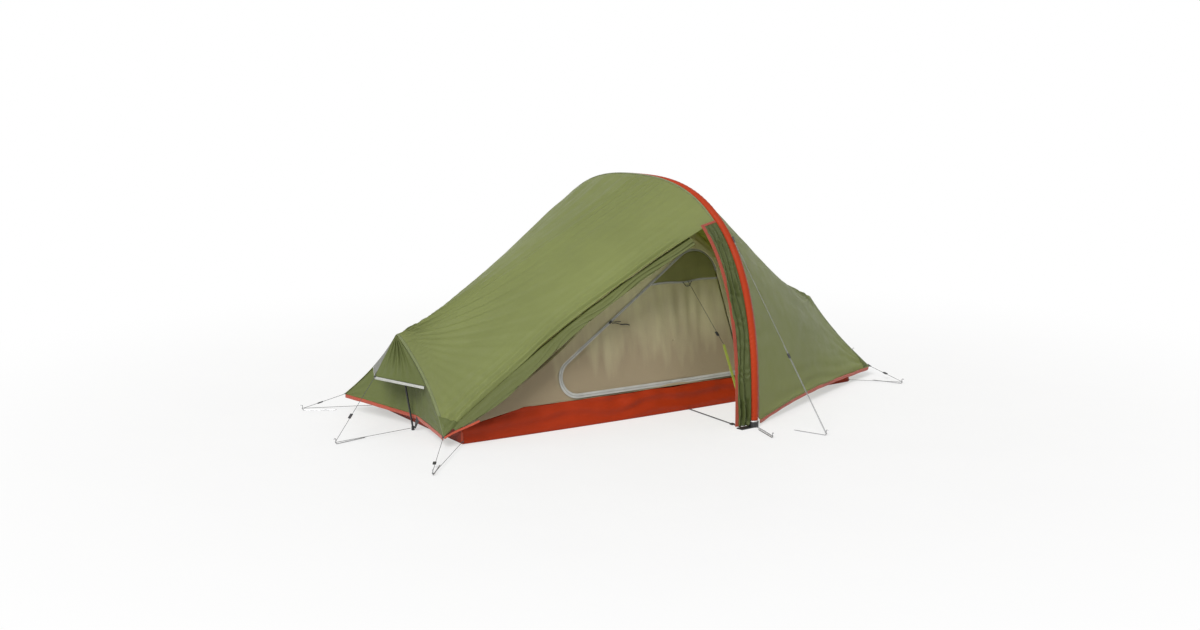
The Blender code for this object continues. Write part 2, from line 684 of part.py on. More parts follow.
def make_fly_door():
    """The rolled door under the door's edge: a flattened roll with long folds that runs out near the corner."""
    along = np.linspace(ROLL_START, ROLL_END, ROLL_STEPS + 1)
    edge = canopy_points("foot", -1.0, along)
    tangent = np.gradient(edge, axis=0)
    tangent /= np.linalg.norm(tangent, axis=1)[:, None]
    down = edge - canopy_points("foot", -1.0 + 1.0 / CANOPY_ROWS, along)
    down -= (down * tangent).sum(axis=1)[:, None] * tangent
    down /= np.linalg.norm(down, axis=1)[:, None]
    inward = np.cross(down, tangent)
    share = np.linspace(0.0, 1.0, ROLL_STEPS + 1)
    widest = np.clip(share / ROLL_WIDEST_SHARE, 0.0, 1.0) ** 2
    runout = np.clip((share - ROLL_WIDEST_SHARE) / (1 - ROLL_WIDEST_SHARE), 0.0, 1.0) ** 2
    width = (ROLL_TOP_WIDTH + (ROLL_LOW_WIDTH - ROLL_TOP_WIDTH) * widest
             + (ROLL_END_WIDTH - ROLL_LOW_WIDTH) * runout)
    depth = ROLL_TOP_THICKNESS + (ROLL_END_THICKNESS - ROLL_TOP_THICKNESS) * share
    turn = np.linspace(0, 2 * math.pi, ROLL_SIDES, endpoint=False)
    lobes = 1 + ROLL_FOLD_DEPTH * np.cos(ROLL_FOLDS * turn[None, :] + ROLL_FOLD_TWIST * share[:, None])
    reach = (1 + ROLL_FOLD_DEPTH) / 2
    centre = edge + down * (width * reach + SEAM_GAP)[:, None] + inward * (depth * reach)[:, None]
    rings = (centre[:, None, :]
             + down[:, None, :] * (width[:, None] / 2 * np.cos(turn) * lobes)[..., None]
             + inward[:, None, :] * (depth[:, None] / 2 * np.sin(turn) * lobes)[..., None])
    loft("fly_door", rings, "fly_fabric")


def make_struts():
    """The two short struts that hold up the ends, each with a rubber tip."""
    for end, base in (("foot", FOOT_STRUT_BASE), ("head", HEAD_STRUT_BASE)):
        foot = (*base, STRUT_TIP_HEIGHT / 2)
        top = toward(end_values(end)[1], foot, STRUT_TOP_GAP)
        strut = cylinder(end + "_strut", foot, top, STRUT_RADIUS, "strut_fibre", sides=12)
        tip = cylinder(end + "_strut_tip", (*base, 0.0), (*base, STRUT_TIP_HEIGHT), STRUT_TIP_RADIUS,
                       "strut_fibre", sides=12)
        combine(strut, tip, "UNION")


# Inner tent

def half_width(x):
    """Half the inner tent's width at ground level: it widens towards the head."""
    return INNER_HALF_WIDTH + INNER_TAPER * x + INNER_CURVE * x ** 2


def inner_y(x, z, side):
    """Y of the inner tent's side wall, which leans in as it rises: -1 is near, 1 is far."""
    return TENT_AXIS_Y + side * (half_width(x) - WALL_LEAN * z)


def end_x(z, foot):
    """X of the inner tent's end wall, which leans in as it rises."""
    return TUB_FOOT_X + INNER_END_LEAN * z if foot else TUB_HEAD_X - INNER_END_LEAN * z


def skewed(points):
    """The inner tent's points with the far side of its foot end moved towards the head."""
    near, far = inner_y(TUB_FOOT_X, 0.0, -1), inner_y(TUB_FOOT_X, 0.0, 1)
    across = np.clip((points[..., 1] - near) / (far - near), 0.0, 1.0)
    to_foot = np.clip(1 - (points[..., 0] - TUB_FOOT_X) / TUB_SLOPE_LENGTH, 0.0, 1.0)
    return points + stack(TUB_FOOT_SKEW * across * to_foot, 0.0, 0.0)


def tub_top(x):
    """Height of the tub's side, which drops towards the corners."""
    to_end = np.minimum(x - TUB_FOOT_X, TUB_HEAD_X - x)
    rise = np.clip(to_end / TUB_SLOPE_LENGTH, 0.0, 1.0)
    return TUB_CORNER_HEIGHT + (TUB_HEIGHT - TUB_CORNER_HEIGHT) * rise


def tent_line(x, foot_height, peak_height, head_height, sag):
    """Height of a sagging line that falls from a rounded peak below the hoop to both ends."""
    rounding = INNER_PEAK_ROUNDING
    foot_run = INNER_PEAK_X - end_x(foot_height, True)
    head_run = end_x(head_height, False) - INNER_PEAK_X
    run = np.where(x < INNER_PEAK_X, (INNER_PEAK_X - x) / foot_run, (x - INNER_PEAK_X) / head_run)
    fall = (np.sqrt(run ** 2 + rounding ** 2) - rounding) / (math.sqrt(1 + rounding ** 2) - rounding)
    low = np.where(x < INNER_PEAK_X, foot_height, head_height)
    return peak_height - (peak_height - low) * fall - sag * 4 * fall * (1 - fall)


def shoulder(x):
    """Height at which the near wall meets the roof."""
    return tent_line(x, SHOULDER_END_HEIGHT, SHOULDER_PEAK_HEIGHT, SHOULDER_END_HEIGHT, SHOULDER_SAG)


def wall_point(x, z, out=0.0):
    """A point of the near wall, moved out of the wall by out."""
    lean = math.hypot(1.0, WALL_LEAN)
    x, z = np.asarray(x, dtype=float), np.asarray(z, dtype=float)
    return stack(x, inner_y(x, z, -1) - out / lean, z + out * WALL_LEAN / lean)


def inner_stations():
    """The places along X, between the ends, at which the tub, the near wall and the roof have their points."""
    foot, head = TUB_FOOT_X + TUB_SLOPE_LENGTH, TUB_HEAD_X - TUB_SLOPE_LENGTH
    return np.concatenate([[(TUB_FOOT_X + foot) / 2], np.linspace(foot, head, INNER_STATIONS),
                           [(TUB_HEAD_X + head) / 2]])


def make_groundsheet():
    """The tub: a flat floor whose edge turns up all round."""
    near_x = np.concatenate([[TUB_FOOT_X], inner_stations(), [TUB_HEAD_X]])
    plan_x = np.concatenate([near_x, near_x[::-1]])
    side = np.repeat([-1.0, 1.0], len(near_x))
    top = tub_top(plan_x)

    def ring(height, inset):
        """A loop round the tub at a height, moved in by inset."""
        x = np.clip(plan_x, end_x(height, True) + inset, end_x(height, False) - inset)
        return skewed(stack(x, TENT_AXIS_Y + side * (half_width(x) - WALL_LEAN * height - inset), height))

    rings = [ring(0.0 * top, 0.0), ring(top, 0.0), ring(top, FABRIC), ring(0.0 * top + FABRIC, FABRIC)]
    loft("groundsheet", np.stack(rings), "groundsheet_fabric", smooth=False)


def inner_section(x):
    """The roof's section at x: from the near shoulder over the top and down to the far side of the tub."""
    near_z = float(shoulder(x))
    top = float(tent_line(x, INNER_FOOT_HEIGHT, INNER_PEAK_HEIGHT, INNER_HEAD_HEIGHT, ROOF_SAG))
    far_z = float(tub_top(x)) + SEAM_GAP
    near_y, far_y = inner_y(x, near_z, -1), inner_y(x, far_z, 1)
    roundness = max(1 - abs(x - INNER_PEAK_X) / ROOF_ROUND_LENGTH, 0.0)
    power = ROOF_END_POWER + (ROOF_PEAK_POWER - ROOF_END_POWER) * roundness
    turn = np.linspace(0, math.pi / 2, INNER_COLUMNS // 2 + 1)
    low, high = np.abs(np.cos(turn)) ** (2 / power), np.abs(np.sin(turn)) ** (2 / power)
    low[-1] = 0.0
    near = stack(x, TENT_AXIS_Y - (TENT_AXIS_Y - near_y) * low, near_z + (top - near_z) * high)
    far = stack(x, TENT_AXIS_Y + (far_y - TENT_AXIS_Y) * high, far_z + (top - far_z) * low)
    return np.concatenate([near, far[1:]])


def make_inner_canopy():
    """The roof, far side and both ends of the inner tent."""
    ends = [end_x(INNER_FOOT_HEIGHT, True)], [end_x(INNER_HEAD_HEIGHT, False)]
    rows = [inner_section(x) for x in np.concatenate([ends[0], inner_stations(), ends[1]])]
    share = np.linspace(0.0, 1.0, INNER_COLUMNS + 1)
    for place, foot in ((0, True), (-1, False)):
        arch = rows[place]
        arch[:, 0] = end_x(arch[:, 2], foot)
        hem = arch[-1, 2]
        near_y = inner_y(arch[0, 0], hem, -1)
        edge = stack(end_x(hem, foot), near_y + (arch[-1, 1] - near_y) * share, hem)
        rows = [edge] + rows if foot else rows + [edge]
    sheet("inner_canopy", skewed(np.stack(rows)), FABRIC, "inner_fabric")


def rounded_arcs(corners, radii):
    """For each corner of a polygon, the points of an arc of its radius that rounds it."""
    arcs = []
    count = len(corners)
    for place in range(count):
        corner = np.array(corners[place])
        before = np.array(corners[place - 1]) - corner
        after = np.array(corners[(place + 1) % count]) - corner
        before, after = before / np.linalg.norm(before), after / np.linalg.norm(after)
        half = math.acos(float(before @ after)) / 2
        middle = (before + after) / np.linalg.norm(before + after)
        centre = corner + middle * radii[place] / math.sin(half)
        first = corner + before * radii[place] / math.tan(half) - centre
        last = corner + after * radii[place] / math.tan(half) - centre
        sweep = math.pi - 2 * half
        share = np.linspace(0.0, 1.0, DOOR_CORNER_STEPS)[:, None]
        arcs.append(centre + (np.sin((1 - share) * sweep) * first + np.sin(share * sweep) * last) / math.sin(sweep))
    return arcs


def door_corners():
    """The inner door's three corners in X and Z before they are rounded: foot, head and top."""
    sill = TUB_HEIGHT + DOOR_SILL_RISE
    return [(DOOR_FOOT_X, sill), (DOOR_HEAD_X, sill), (DOOR_TOP_X, DOOR_APEX_HEIGHT)]


def door_arcs():
    """The rounded corners of the inner door in X and Z: foot, head and top."""
    return rounded_arcs(door_corners(), [DOOR_FOOT_RADIUS, DOOR_HEAD_RADIUS, DOOR_TOP_RADIUS])


def moved_in(outline, inset):
    """A closed outline moved inwards by inset along its own normals."""
    step = np.roll(outline, -1, axis=0) - np.roll(outline, 1, axis=0)
    step /= np.linalg.norm(step, axis=1)[:, None]
    return outline + inset * stack(-step[:, 1], step[:, 0])


def cut_at_height(outline, height, above):
    """The part of a closed outline above or below a height."""
    sign = 1.0 if above else -1.0
    points = []
    for place, point in enumerate(outline):
        after = outline[(place + 1) % len(outline)]
        if sign * (point[1] - height) >= 0:
            points.append(point)
        if (point[1] - height) * (after[1] - height) < 0:
            points.append(point + (after - point) * (height - point[1]) / (after[1] - point[1]))
    return np.array(points)


def near_wall(name, finish_name):
    """The whole near wall from the tub to the roof, between the two end walls."""
    foot = end_x(SHOULDER_END_HEIGHT, True) + SEAM_GAP
    head = end_x(SHOULDER_END_HEIGHT, False) - SEAM_GAP
    x = np.concatenate([[foot], inner_stations(), [head]])[:, None]
    low, high = tub_top(x) + SEAM_GAP, shoulder(x) - SEAM_GAP
    return sheet(name, wall_point(x, low + (high - low) * np.linspace(0, 1, WALL_ROWS + 1)[None, :]),
                 FABRIC, finish_name)


def wall_guide(name, outline):
    """A block that passes square through the near wall with the given outline in X and Z."""
    rings = [stack(outline[:, 0], y, outline[:, 1]) for y in (TENT_AXIS_Y - HOOP_SPAN, TENT_AXIS_Y)]
    return loft(name, np.stack(rings), "black_plastic", smooth=False)


def make_inner_door():
    """The near wall round the door, the door, the mesh vent in its top and its zip."""
    arcs = door_arcs()
    outline = np.concatenate(arcs)
    hole = wall_guide("door_hole", moved_in(outline, -DOOR_GAP / 2))
    combine(near_wall("inner_near_wall", "inner_fabric"), hole, "DIFFERENCE")
    panel = moved_in(outline, DOOR_GAP / 2)
    below = wall_guide("door_guide", cut_at_height(panel, VENT_SILL_HEIGHT - SEAM_GAP / 2, False))
    above = wall_guide("vent_guide", cut_at_height(panel, VENT_SILL_HEIGHT + SEAM_GAP / 2, True))
    hinge = wall_point(*door_corners()[1])
    combine(set_origin(near_wall("inner_door", "inner_fabric"), hinge), below, "INTERSECT")
    combine(set_origin(near_wall("inner_vent_mesh", "vent_mesh"), hinge), above, "INTERSECT")

    track = [arcs[2], arcs[0], arcs[1][:3]]
    line = [track[0]]
    for before, after in zip(track, track[1:]):
        steps = max(2, math.ceil(np.linalg.norm(after[0] - before[-1]) / ZIP_STEP))
        line += [mix(before[-1], after[0], np.linspace(0, 1, steps + 1)[1:-1]), after]
    line = np.concatenate(line)
    step = np.gradient(line, axis=0)
    across = stack(-step[:, 1], step[:, 0]) / np.linalg.norm(step, axis=1)[:, None] * ZIP_WIDTH / 2
    tape = np.stack([line - across, line + across], axis=1)
    sheet("inner_door_zip", wall_point(tape[..., 0], tape[..., 1], ZIP_STANDOFF + ZIP_THICKNESS),
          ZIP_THICKNESS, "grey_tape")


def make_slider():
    """The zip slider on the long upper run of the zip, with its pull cord."""
    foot, _, top = door_corners()
    slope = (top[1] - foot[1]) / (top[0] - foot[0])
    height = foot[1] + slope * (SLIDER_X - foot[0])
    out = ZIP_STANDOFF + 2 * ZIP_THICKNESS + SLIDER_THICKNESS / 2
    centre = Vector(wall_point(SLIDER_X, height, out))
    ahead = Vector(wall_point(SLIDER_X + SLIDER_LENGTH, height + slope * SLIDER_LENGTH, out))
    place = frame_between(centre, ahead, (0.0, -1.0, WALL_LEAN))
    slider = box("zip_slider", (SLIDER_THICKNESS, SLIDER_WIDTH, SLIDER_LENGTH), Matrix.Identity(4), "black_plastic",
                 chamfer=SLIDER_THICKNESS / 5)
    slider.matrix_world = place
    pull_end = centre + Vector((PULL_LENGTH * math.cos(PULL_SWING), -PULL_LENGTH * math.sin(PULL_SWING), 0.0))
    pull = cylinder("zip_pull", centre, pull_end, PULL_RADIUS, "black_plastic", sides=8)
    combine(slider, pull, "UNION")


# Straps

def ribbon(name, path, width, thickness, across, finish_name):
    """A flat strap along a path, with its width along one direction."""
    path = np.asarray(path, dtype=float)
    side = np.asarray(across, dtype=float) * width / 2
    sheet(name, np.stack([path - side, path + side], axis=1), thickness, finish_name, offset=0.0)


def runner_profile():
    """Flat mesh of a runner's section: a strip with two holes, the first one on the origin."""
    half_height = CORD_RADIUS + CORD_HOLE_GAP + RUNNER_WALL / 2
    end = CORD_RADIUS + CORD_HOLE_GAP + RUNNER_WALL
    bevel = RUNNER_WALL / 2
    low, high = -end, CORD_PITCH + end
    rim = [(low, -half_height + bevel), (low + bevel, -half_height), (high - bevel, -half_height),
           (high, -half_height + bevel), (high, half_height - bevel), (high - bevel, half_height),
           (low + bevel, half_height), (low, half_height - bevel)]
    turn = np.linspace(0, 2 * math.pi, 8, endpoint=False) + math.pi / 8
    hole_radius = (CORD_RADIUS + CORD_HOLE_GAP) / math.cos(math.pi / 8)
    holes = [[(centre + hole_radius * math.cos(angle), hole_radius * math.sin(angle)) for angle in turn]
             for centre in (0.0, CORD_PITCH)]
    work = bmesh.new()
    edges = []
    for loop in [rim, *holes]:
        verts = [work.verts.new((x, y, 0.0)) for x, y in loop]
        edges += [work.edges.new((vert, verts[place - 1])) for place, vert in enumerate(verts)]
    bmesh.ops.triangle_fill(work, use_beauty=True, edges=edges)
    bmesh.ops.recalc_face_normals(work, faces=work.faces)
    data = bpy.data.meshes.new("runner")
    work.to_mesh(data)
    work.free()
    return data


def place_runner(name, data, place, axis, across):
    """A runner whose first hole is on a line: its second hole lies towards across."""
    made = add_object(name, data, "black_plastic")
    made.matrix_world = frame_between(place, np.asarray(place) + axis, across)
    return thicken(made, RUNNER_LENGTH, offset=0.0)


def make_straps(runner):
    """The tension cord with its runner and strap, and the porch strap with its buckle."""
    start = wall_point(*CORD_TOP, CORD_STANDOFF)
    end = toward(STRAP_TOP, start, 2 * CORD_RADIUS)
    add_object("tension_cord", tube_curve("tension_cord", [start, end], CORD_RADIUS, "black_webbing"),
               "black_webbing")
    axis = (end - start) / np.linalg.norm(end - start)
    place_runner("tension_runner", runner, mix(start, end, TENSION_RUNNER_SHARE), axis, (-1.0, 0.0, 0.0))

    beside_cup = -LEG_Y + CUP_RADIUS + TOUCH_GAP + STRAP_THICKNESS
    path = [STRAP_TOP, STRAP_LOW, (STRAP_LOW[0], beside_cup, CUP_HEIGHT),
            (STRAP_LOW[0], beside_cup, CUP_FOOT_THICKNESS + SEAM_GAP)]
    ribbon("tension_strap", path, STRAP_WIDTH, STRAP_THICKNESS, (1, 0, 0), "lime_webbing")

    level = PORCH_BUCKLE_WALL + CORD_HOLE_GAP + PORCH_STRAP_THICKNESS / 2
    inside = np.array([PORCH_STRAP_START_X, inner_y(PORCH_STRAP_START_X, 0.0, -1) - SEAM_GAP, level])
    outside = np.array([PORCH_STRAP_END_X, -LEG_Y + CUP_FOOT_WIDTH / 2 + SEAM_GAP, level])
    axis = (outside - inside) / np.linalg.norm(outside - inside)
    across = np.cross(axis, (0.0, 0.0, 1.0))
    ribbon("porch_strap", [inside, outside], PORCH_STRAP_WIDTH, PORCH_STRAP_THICKNESS, across, "black_webbing")
    centre = mix(outside, inside, PORCH_BUCKLE_SHARE)
    place = frame_between(centre, centre + axis, across)
    slot = (PORCH_STRAP_WIDTH + 2 * CORD_HOLE_GAP, PORCH_STRAP_THICKNESS + 2 * CORD_HOLE_GAP)
    buckle = box("porch_strap_buckle", (slot[0] + 2 * PORCH_BUCKLE_RIM, slot[1] + 2 * PORCH_BUCKLE_WALL,
                                        PORCH_BUCKLE_LENGTH), Matrix.Identity(4), "black_plastic",
                 chamfer=PORCH_BUCKLE_WALL / 2)
    buckle.matrix_world = place
    combine(buckle, box("buckle_slot", (*slot, 2 * PORCH_BUCKLE_LENGTH), place, "black_plastic"), "DIFFERENCE")


# Guylines and pegs

def line_round_peg(start, peg, end, doubled_share):
    """A line from start, round a peg's upright and on to end, and the side its second strand lies on.

    With no end the line turns back beside itself, for the doubled share of its way.
    """
    start, hub = np.asarray(start, dtype=float), np.array([*peg, CORD_ON_PEG_HEIGHT])
    first = math.atan2(start[1] - hub[1], start[0] - hub[0])
    last = first if end is None else math.atan2(end[1] - hub[1], end[0] - hub[0])
    turn = (last - first + math.pi) % (2 * math.pi) - math.pi
    side = 1.0 if turn >= 0 else -1.0
    angles = first - side * math.pi / 2 + np.linspace(0.0, turn - side * math.pi, CORD_TURN_STEPS + 1)
    arc = hub + CORD_PITCH / 2 * stack(np.cos(angles), np.sin(angles), 0.0)
    if end is None:
        end = arc[-1] + (start - arc[0]) * doubled_share
    return np.concatenate([[start], arc, [np.asarray(end, dtype=float)]]), side


def peg_curve():
    """A hooked peg that lies on the ground along +X, with its upright on the origin."""
    turn = np.linspace(0.0, 1.0, 4)
    bend = stack(PEG_BEND * (1 - np.sin(turn * math.pi / 2)), 0.0,
                 PEG_RADIUS + PEG_BEND * (1 - np.cos(turn * math.pi / 2)))
    hook_turn = np.linspace(0.0, math.radians(PEG_HOOK_DEGREES), 6)
    hook = stack(-PEG_HOOK_RADIUS * (1 - np.cos(hook_turn)), 0.0,
                 PEG_HEAD_HEIGHT + PEG_HOOK_RADIUS * np.sin(hook_turn))
    shaft = [(PEG_LENGTH, 0.0, PEG_RADIUS), (PEG_LENGTH - PEG_POINT_LENGTH, 0.0, PEG_RADIUS)]
    data = tube_curve("peg", np.concatenate([shaft, bend, hook]), PEG_RADIUS, "peg_alloy", sides_level=1)
    data.splines[0].points[0].radius = PEG_POINT_SHARE
    return data


def line_anchors():
    """The two points that each guyline is tied to; a line with one point is doubled."""
    def tub_corner(foot, side):
        """The tie at a corner of the groundsheet."""
        x = end_x(GROUND_LOOP_HEIGHT, foot)
        return skewed(stack(x, inner_y(x, GROUND_LOOP_HEIGHT, side), GROUND_LOOP_HEIGHT))

    anchors = {}
    for end in ("foot", "head"):
        _, _, near, far = end_values(end)[:4]
        anchors[end + "_near"] = (near, tub_corner(end == "foot", -1))
        anchors[end + "_far"] = (far, tub_corner(end == "foot", 1))
    anchors["foot_hood"] = (FOOT_HOOD_TIP, (*FOOT_STRUT_BASE, GROUND_LOOP_HEIGHT))
    anchors["head_hood"] = (HEAD_HOOD_TIP, (*HEAD_STRUT_BASE, GROUND_LOOP_HEIGHT))
    guy_y, guy_z = hoop_line(0.0, -hoop_share(HOOP_GUY_HEIGHT))
    for side, name in ((-1, "near"), (1, "far")):
        anchors["hoop_foot_" + name] = ((0.0, side * LEG_Y, GROUND_LOOP_HEIGHT), None)
        anchors["hoop_" + name] = ((HOOP_GUY_X, -side * float(guy_y), float(guy_z)), None)
    return anchors


def make_guylines(runner):
    """Every guyline with its peg and its runner."""
    peg_data = peg_curve()
    for name, (first, second) in line_anchors().items():
        hub = (*PEGS[name], CORD_ON_PEG_HEIGHT)
        clear = LINE_CLEARANCE
        if name.startswith("hoop_foot"):
            clear += CUP_RADIUS
        start = toward(first, hub, clear)
        end = None
        if second is not None:
            end = toward(second, hub, LINE_CLEARANCE + (STRUT_TIP_RADIUS if "hood" in name else 0.0))
        doubled = DOUBLED_LOOP_SHARE if name.startswith("hoop_foot") else DOUBLED_GUY_SHARE
        points, side = line_round_peg(start, PEGS[name], end, doubled)
        add_object("guyline_" + name, tube_curve("guyline_" + name, points, CORD_RADIUS, "grey_cord"), "grey_cord")

        towards_tent = (points[0] + points[-1]) / 2 - np.array(hub)
        peg = add_object("peg_" + name, peg_data, "peg_alloy")
        peg.location = (*PEGS[name], 0.0)
        peg.rotation_euler = (0.0, 0.0, math.atan2(towards_tent[1], towards_tent[0]))
        if name in RUNNER_SHARES:
            axis = (points[1] - points[0]) / np.linalg.norm(points[1] - points[0])
            across = np.cross(axis, (0.0, 0.0, 1.0)) * (side if end is None else -side)
            place_runner("runner_" + name, runner, mix(points[0], points[1], RUNNER_SHARES[name]), axis, across)


def build():
    """Clears the scene and makes every piece of the tent."""
    for old in list(bpy.data.objects):
        bpy.data.objects.remove(old, do_unlink=True)
    make_valve(make_hoop())
    for end in ("foot", "head"):
        make_flysheet_end(end)
    make_bindings()
    make_storm_flap()
    make_fly_door()
    make_struts()
    make_groundsheet()
    make_inner_canopy()
    make_inner_door()
    make_slider()
    runner = runner_profile()
    make_straps(runner)
    make_guylines(runner)


build()
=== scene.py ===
"""Looks of a low hoop backpacking tent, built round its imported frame.

X runs along the tent from the foot end (-X) to the head end (+X), the porch is on the -Y side and Z is up.
All sizes are in metres.
"""

from __future__ import annotations

import sys

import logging
import math
from dataclasses import dataclass, field
from enum import Enum

import bpy
import numpy as np
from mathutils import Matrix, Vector


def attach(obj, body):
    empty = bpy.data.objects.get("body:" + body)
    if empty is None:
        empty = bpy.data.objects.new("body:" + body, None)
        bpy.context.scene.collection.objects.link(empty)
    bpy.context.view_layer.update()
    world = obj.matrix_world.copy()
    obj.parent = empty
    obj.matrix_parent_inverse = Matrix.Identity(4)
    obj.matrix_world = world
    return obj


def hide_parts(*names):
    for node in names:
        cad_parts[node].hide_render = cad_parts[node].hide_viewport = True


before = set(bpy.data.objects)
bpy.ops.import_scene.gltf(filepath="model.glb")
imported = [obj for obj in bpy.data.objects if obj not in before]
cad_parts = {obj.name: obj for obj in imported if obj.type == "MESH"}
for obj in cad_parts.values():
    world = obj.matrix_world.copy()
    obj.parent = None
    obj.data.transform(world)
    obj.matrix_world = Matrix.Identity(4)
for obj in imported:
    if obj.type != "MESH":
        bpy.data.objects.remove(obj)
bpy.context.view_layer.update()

LOG = logging.getLogger("tent")
Array = np.ndarray
Values = float | np.ndarray
Pair = tuple[float, float]
Point = tuple[float, float, float]
Colour = tuple[float, float, float]
Socket = bpy.types.NodeSocket
TAU = 2 * math.pi
TENT_AXIS_Y = 0.169
MIDDLE = np.array([0.0, TENT_AXIS_Y, 0.21])
ALONG = np.array([1.0, 0.0, 0.0])
ACROSS = np.array([0.0, 1.0, 0.0])
UP = np.array([0.0, 0.0, 1.0])


class Body(Enum):
    """The bodies of the frame that pieces ride on."""

    TENT = "tent"
    DOOR = "inner_door_body"
    SLIDER = "zip_slider_body"


class Held(Enum):
    """The ways in which a panel of cloth is held."""

    STRETCHED = "stretched"
    HUNG = "hung"
    LAID = "laid"


class Slot(Enum):
    """The material slots of the frame."""

    FLY = "fly_fabric"
    ORANGE = "orange_fabric"
    FLOOR = "groundsheet_fabric"
    INNER = "inner_fabric"
    VENT = "vent_mesh"
    TAPE = "grey_tape"
    CORD = "grey_cord"
    BLACK = "black_webbing"
    LIME = "lime_webbing"
    PLASTIC = "black_plastic"


# Arrays and surfaces

def stack(*columns: Values) -> Array:
    """Joins coordinate columns, each a number or an array, into an array of points."""
    return np.stack(np.broadcast_arrays(*columns), axis=-1).astype(float)


def mix(start: Array, end: Array, share: Values) -> Array:
    """Points from start to end at the given share of the way."""
    share = np.asarray(share, dtype=float)[..., None]
    return (1 - share) * np.asarray(start, dtype=float) + share * np.asarray(end, dtype=float)


def unit(vectors: Array) -> Array:
    """The vectors at length one."""
    return vectors / np.maximum(np.linalg.norm(vectors, axis=-1, keepdims=True), 1e-12)


def toward(start: Point, end: Point, distance: float) -> Array:
    """The point at a distance from start on the way to end."""
    start = np.asarray(start, dtype=float)
    return start + unit(np.asarray(end, dtype=float) - start) * distance


def rise(value: Array, low: float, high: float) -> Array:
    """A smooth rise from 0 at low to 1 at high: 3t^2 - 2t^3."""
    share = np.clip((np.asarray(value, dtype=float) - low) / (high - low), 0.0, 1.0)
    return share * share * (3 - 2 * share)


def waves(points: Array, length: float, seed: int, count: int = 7) -> Array:
    """Smooth noise of about one wave length.

    The sum of plane sine waves in seeded directions, over the root of their count.

    Args:
        points: Places at which the noise is wanted, with any number of coordinates.
        length: Mean wave length.
        seed: Start of the random draws.
        count: How many waves are added.

    Returns:
        The noise at each place, mostly between -1 and 1.
    """
    draws = np.random.default_rng(seed)
    turns = unit(draws.normal(size=(count, points.shape[-1])))
    pace = TAU / (length * draws.uniform(0.7, 1.5, count))
    phase = draws.uniform(0.0, TAU, count)
    return np.sin((points @ turns.T) * pace + phase).sum(axis=-1) / math.sqrt(count)


def fan(points: Array, centre: Point, axes: tuple[int, int], folds: float, reach: float, seed: int) -> Array:
    """Folds that spread from a point where cloth is pulled tight.

    A sine of the angle round the centre, with a wandering phase, that grows from nothing at the centre
    and fades with the distance as exp(-distance / reach).

    Args:
        points: Places on the cloth.
        centre: The point that pulls.
        axes: The two coordinates in which the angle is measured.
        folds: How many folds there are in a whole turn.
        reach: Distance over which the folds fade.
        seed: Start of the random draws.

    Returns:
        The height of the folds, between -1 and 1.
    """
    away = points - np.asarray(centre, dtype=float)
    distance = np.linalg.norm(away, axis=-1)
    angle = np.arctan2(away[..., axes[1]], away[..., axes[0]])
    wander = 0.9 * waves(stack(angle, distance / reach * 0.4), 0.9, seed)
    start = 1 - np.exp(-(distance / (0.15 * reach)) ** 2)
    return np.sin(folds * angle + wander) * np.exp(-distance / reach) * start


@dataclass(frozen=True)
class Panel:
    """A surface as a grid of points.

    places holds each point's place on the cut cloth where it is known, and closed says whether the grid's last
    column joins its first one.
    """

    points: Array
    places: Array | None = None
    closed: bool = False

    def normals(self) -> Array:
        """Unit normals away from the middle of the tent: the cross product of the grid's two directions."""
        normal = unit(np.cross(np.gradient(self.points, axis=0), np.gradient(self.points, axis=1)))
        return normal if ((self.points - MIDDLE) * normal).sum() > 0 else -normal

    def raised(self, height: Values) -> Panel:
        """The panel with each point moved out along its normal."""
        move = self.normals() * np.broadcast_to(height, self.points.shape[:2])[..., None]
        return Panel(self.points + move, self.places, self.closed)

    def flat(self) -> Array:
        """Each point's place on the cut cloth: as stated, or its lengths along both directions of the grid.

        Returns:
            Two lengths for each point.
        """
        if self.places is not None:
            return self.places
        places = []
        for axis in (0, 1):
            length = np.linalg.norm(np.diff(self.points, axis=axis), axis=2)
            place = np.insert(np.cumsum(length, axis=axis), 0, 0.0, axis=axis)
            middle = place.shape[axis] // 2
            places.append(place - np.take(place, [middle], axis=axis))
        return np.stack(places, axis=-1)


def cells(grid: Array) -> Array:
    """The four corners of every cell of a grid, row by row."""
    corners = np.stack([grid[:-1, :-1], grid[:-1, 1:], grid[1:, 1:], grid[1:, :-1]], axis=2)
    return corners.reshape((-1, 4) + grid.shape[2:])


def surface_object(name: str, panel: Panel, capped: bool) -> bpy.types.Object:
    """A smooth mesh object of a panel, with its cloth places in metres as UV map.

    Args:
        name: Name of the piece.
        panel: Its surface.
        capped: Whether the first and the last row are closed with a face.

    Returns:
        The new object, at the origin.
    """
    rows, columns = panel.points.shape[:2]
    index = np.arange(rows * columns).reshape(rows, columns)
    places = panel.flat()
    if panel.closed:
        index = np.concatenate([index, index[:, :1]], axis=1)
        wrap = 2 * places[:, -1:] - places[:, -2:-1] if panel.places is None else places[:, :1]
        places = np.concatenate([places, wrap], axis=1)
    corners, spots = cells(index), cells(places)
    points = panel.points.reshape(-1, 3)
    first, second, third, fourth = (points[corners[:, place]] for place in range(4))
    outwards = (np.cross(third - first, fourth - second) * (first - MIDDLE)).sum() >= 0
    faces = corners.tolist()
    spots = spots.reshape(-1, 2)
    if capped:
        faces += [index[0, :columns][::-1].tolist(), index[-1, :columns].tolist()]
        spots = np.concatenate([spots, places[0, :columns][::-1], places[-1, :columns]])
    mesh = bpy.data.meshes.new(name)
    mesh.from_pydata(points.tolist(), [], faces)
    mesh.uv_layers.new(name="UVMap").data.foreach_set("uv", spots.astype(np.float32).ravel())
    if not outwards:
        mesh.flip_normals()
    mesh.validate()
    mesh.shade_smooth()
    if capped:
        mesh.set_sharp_from_angle(angle=math.radians(50))
    made = bpy.data.objects.new(name, mesh)
    bpy.context.scene.collection.objects.link(made)
    return made


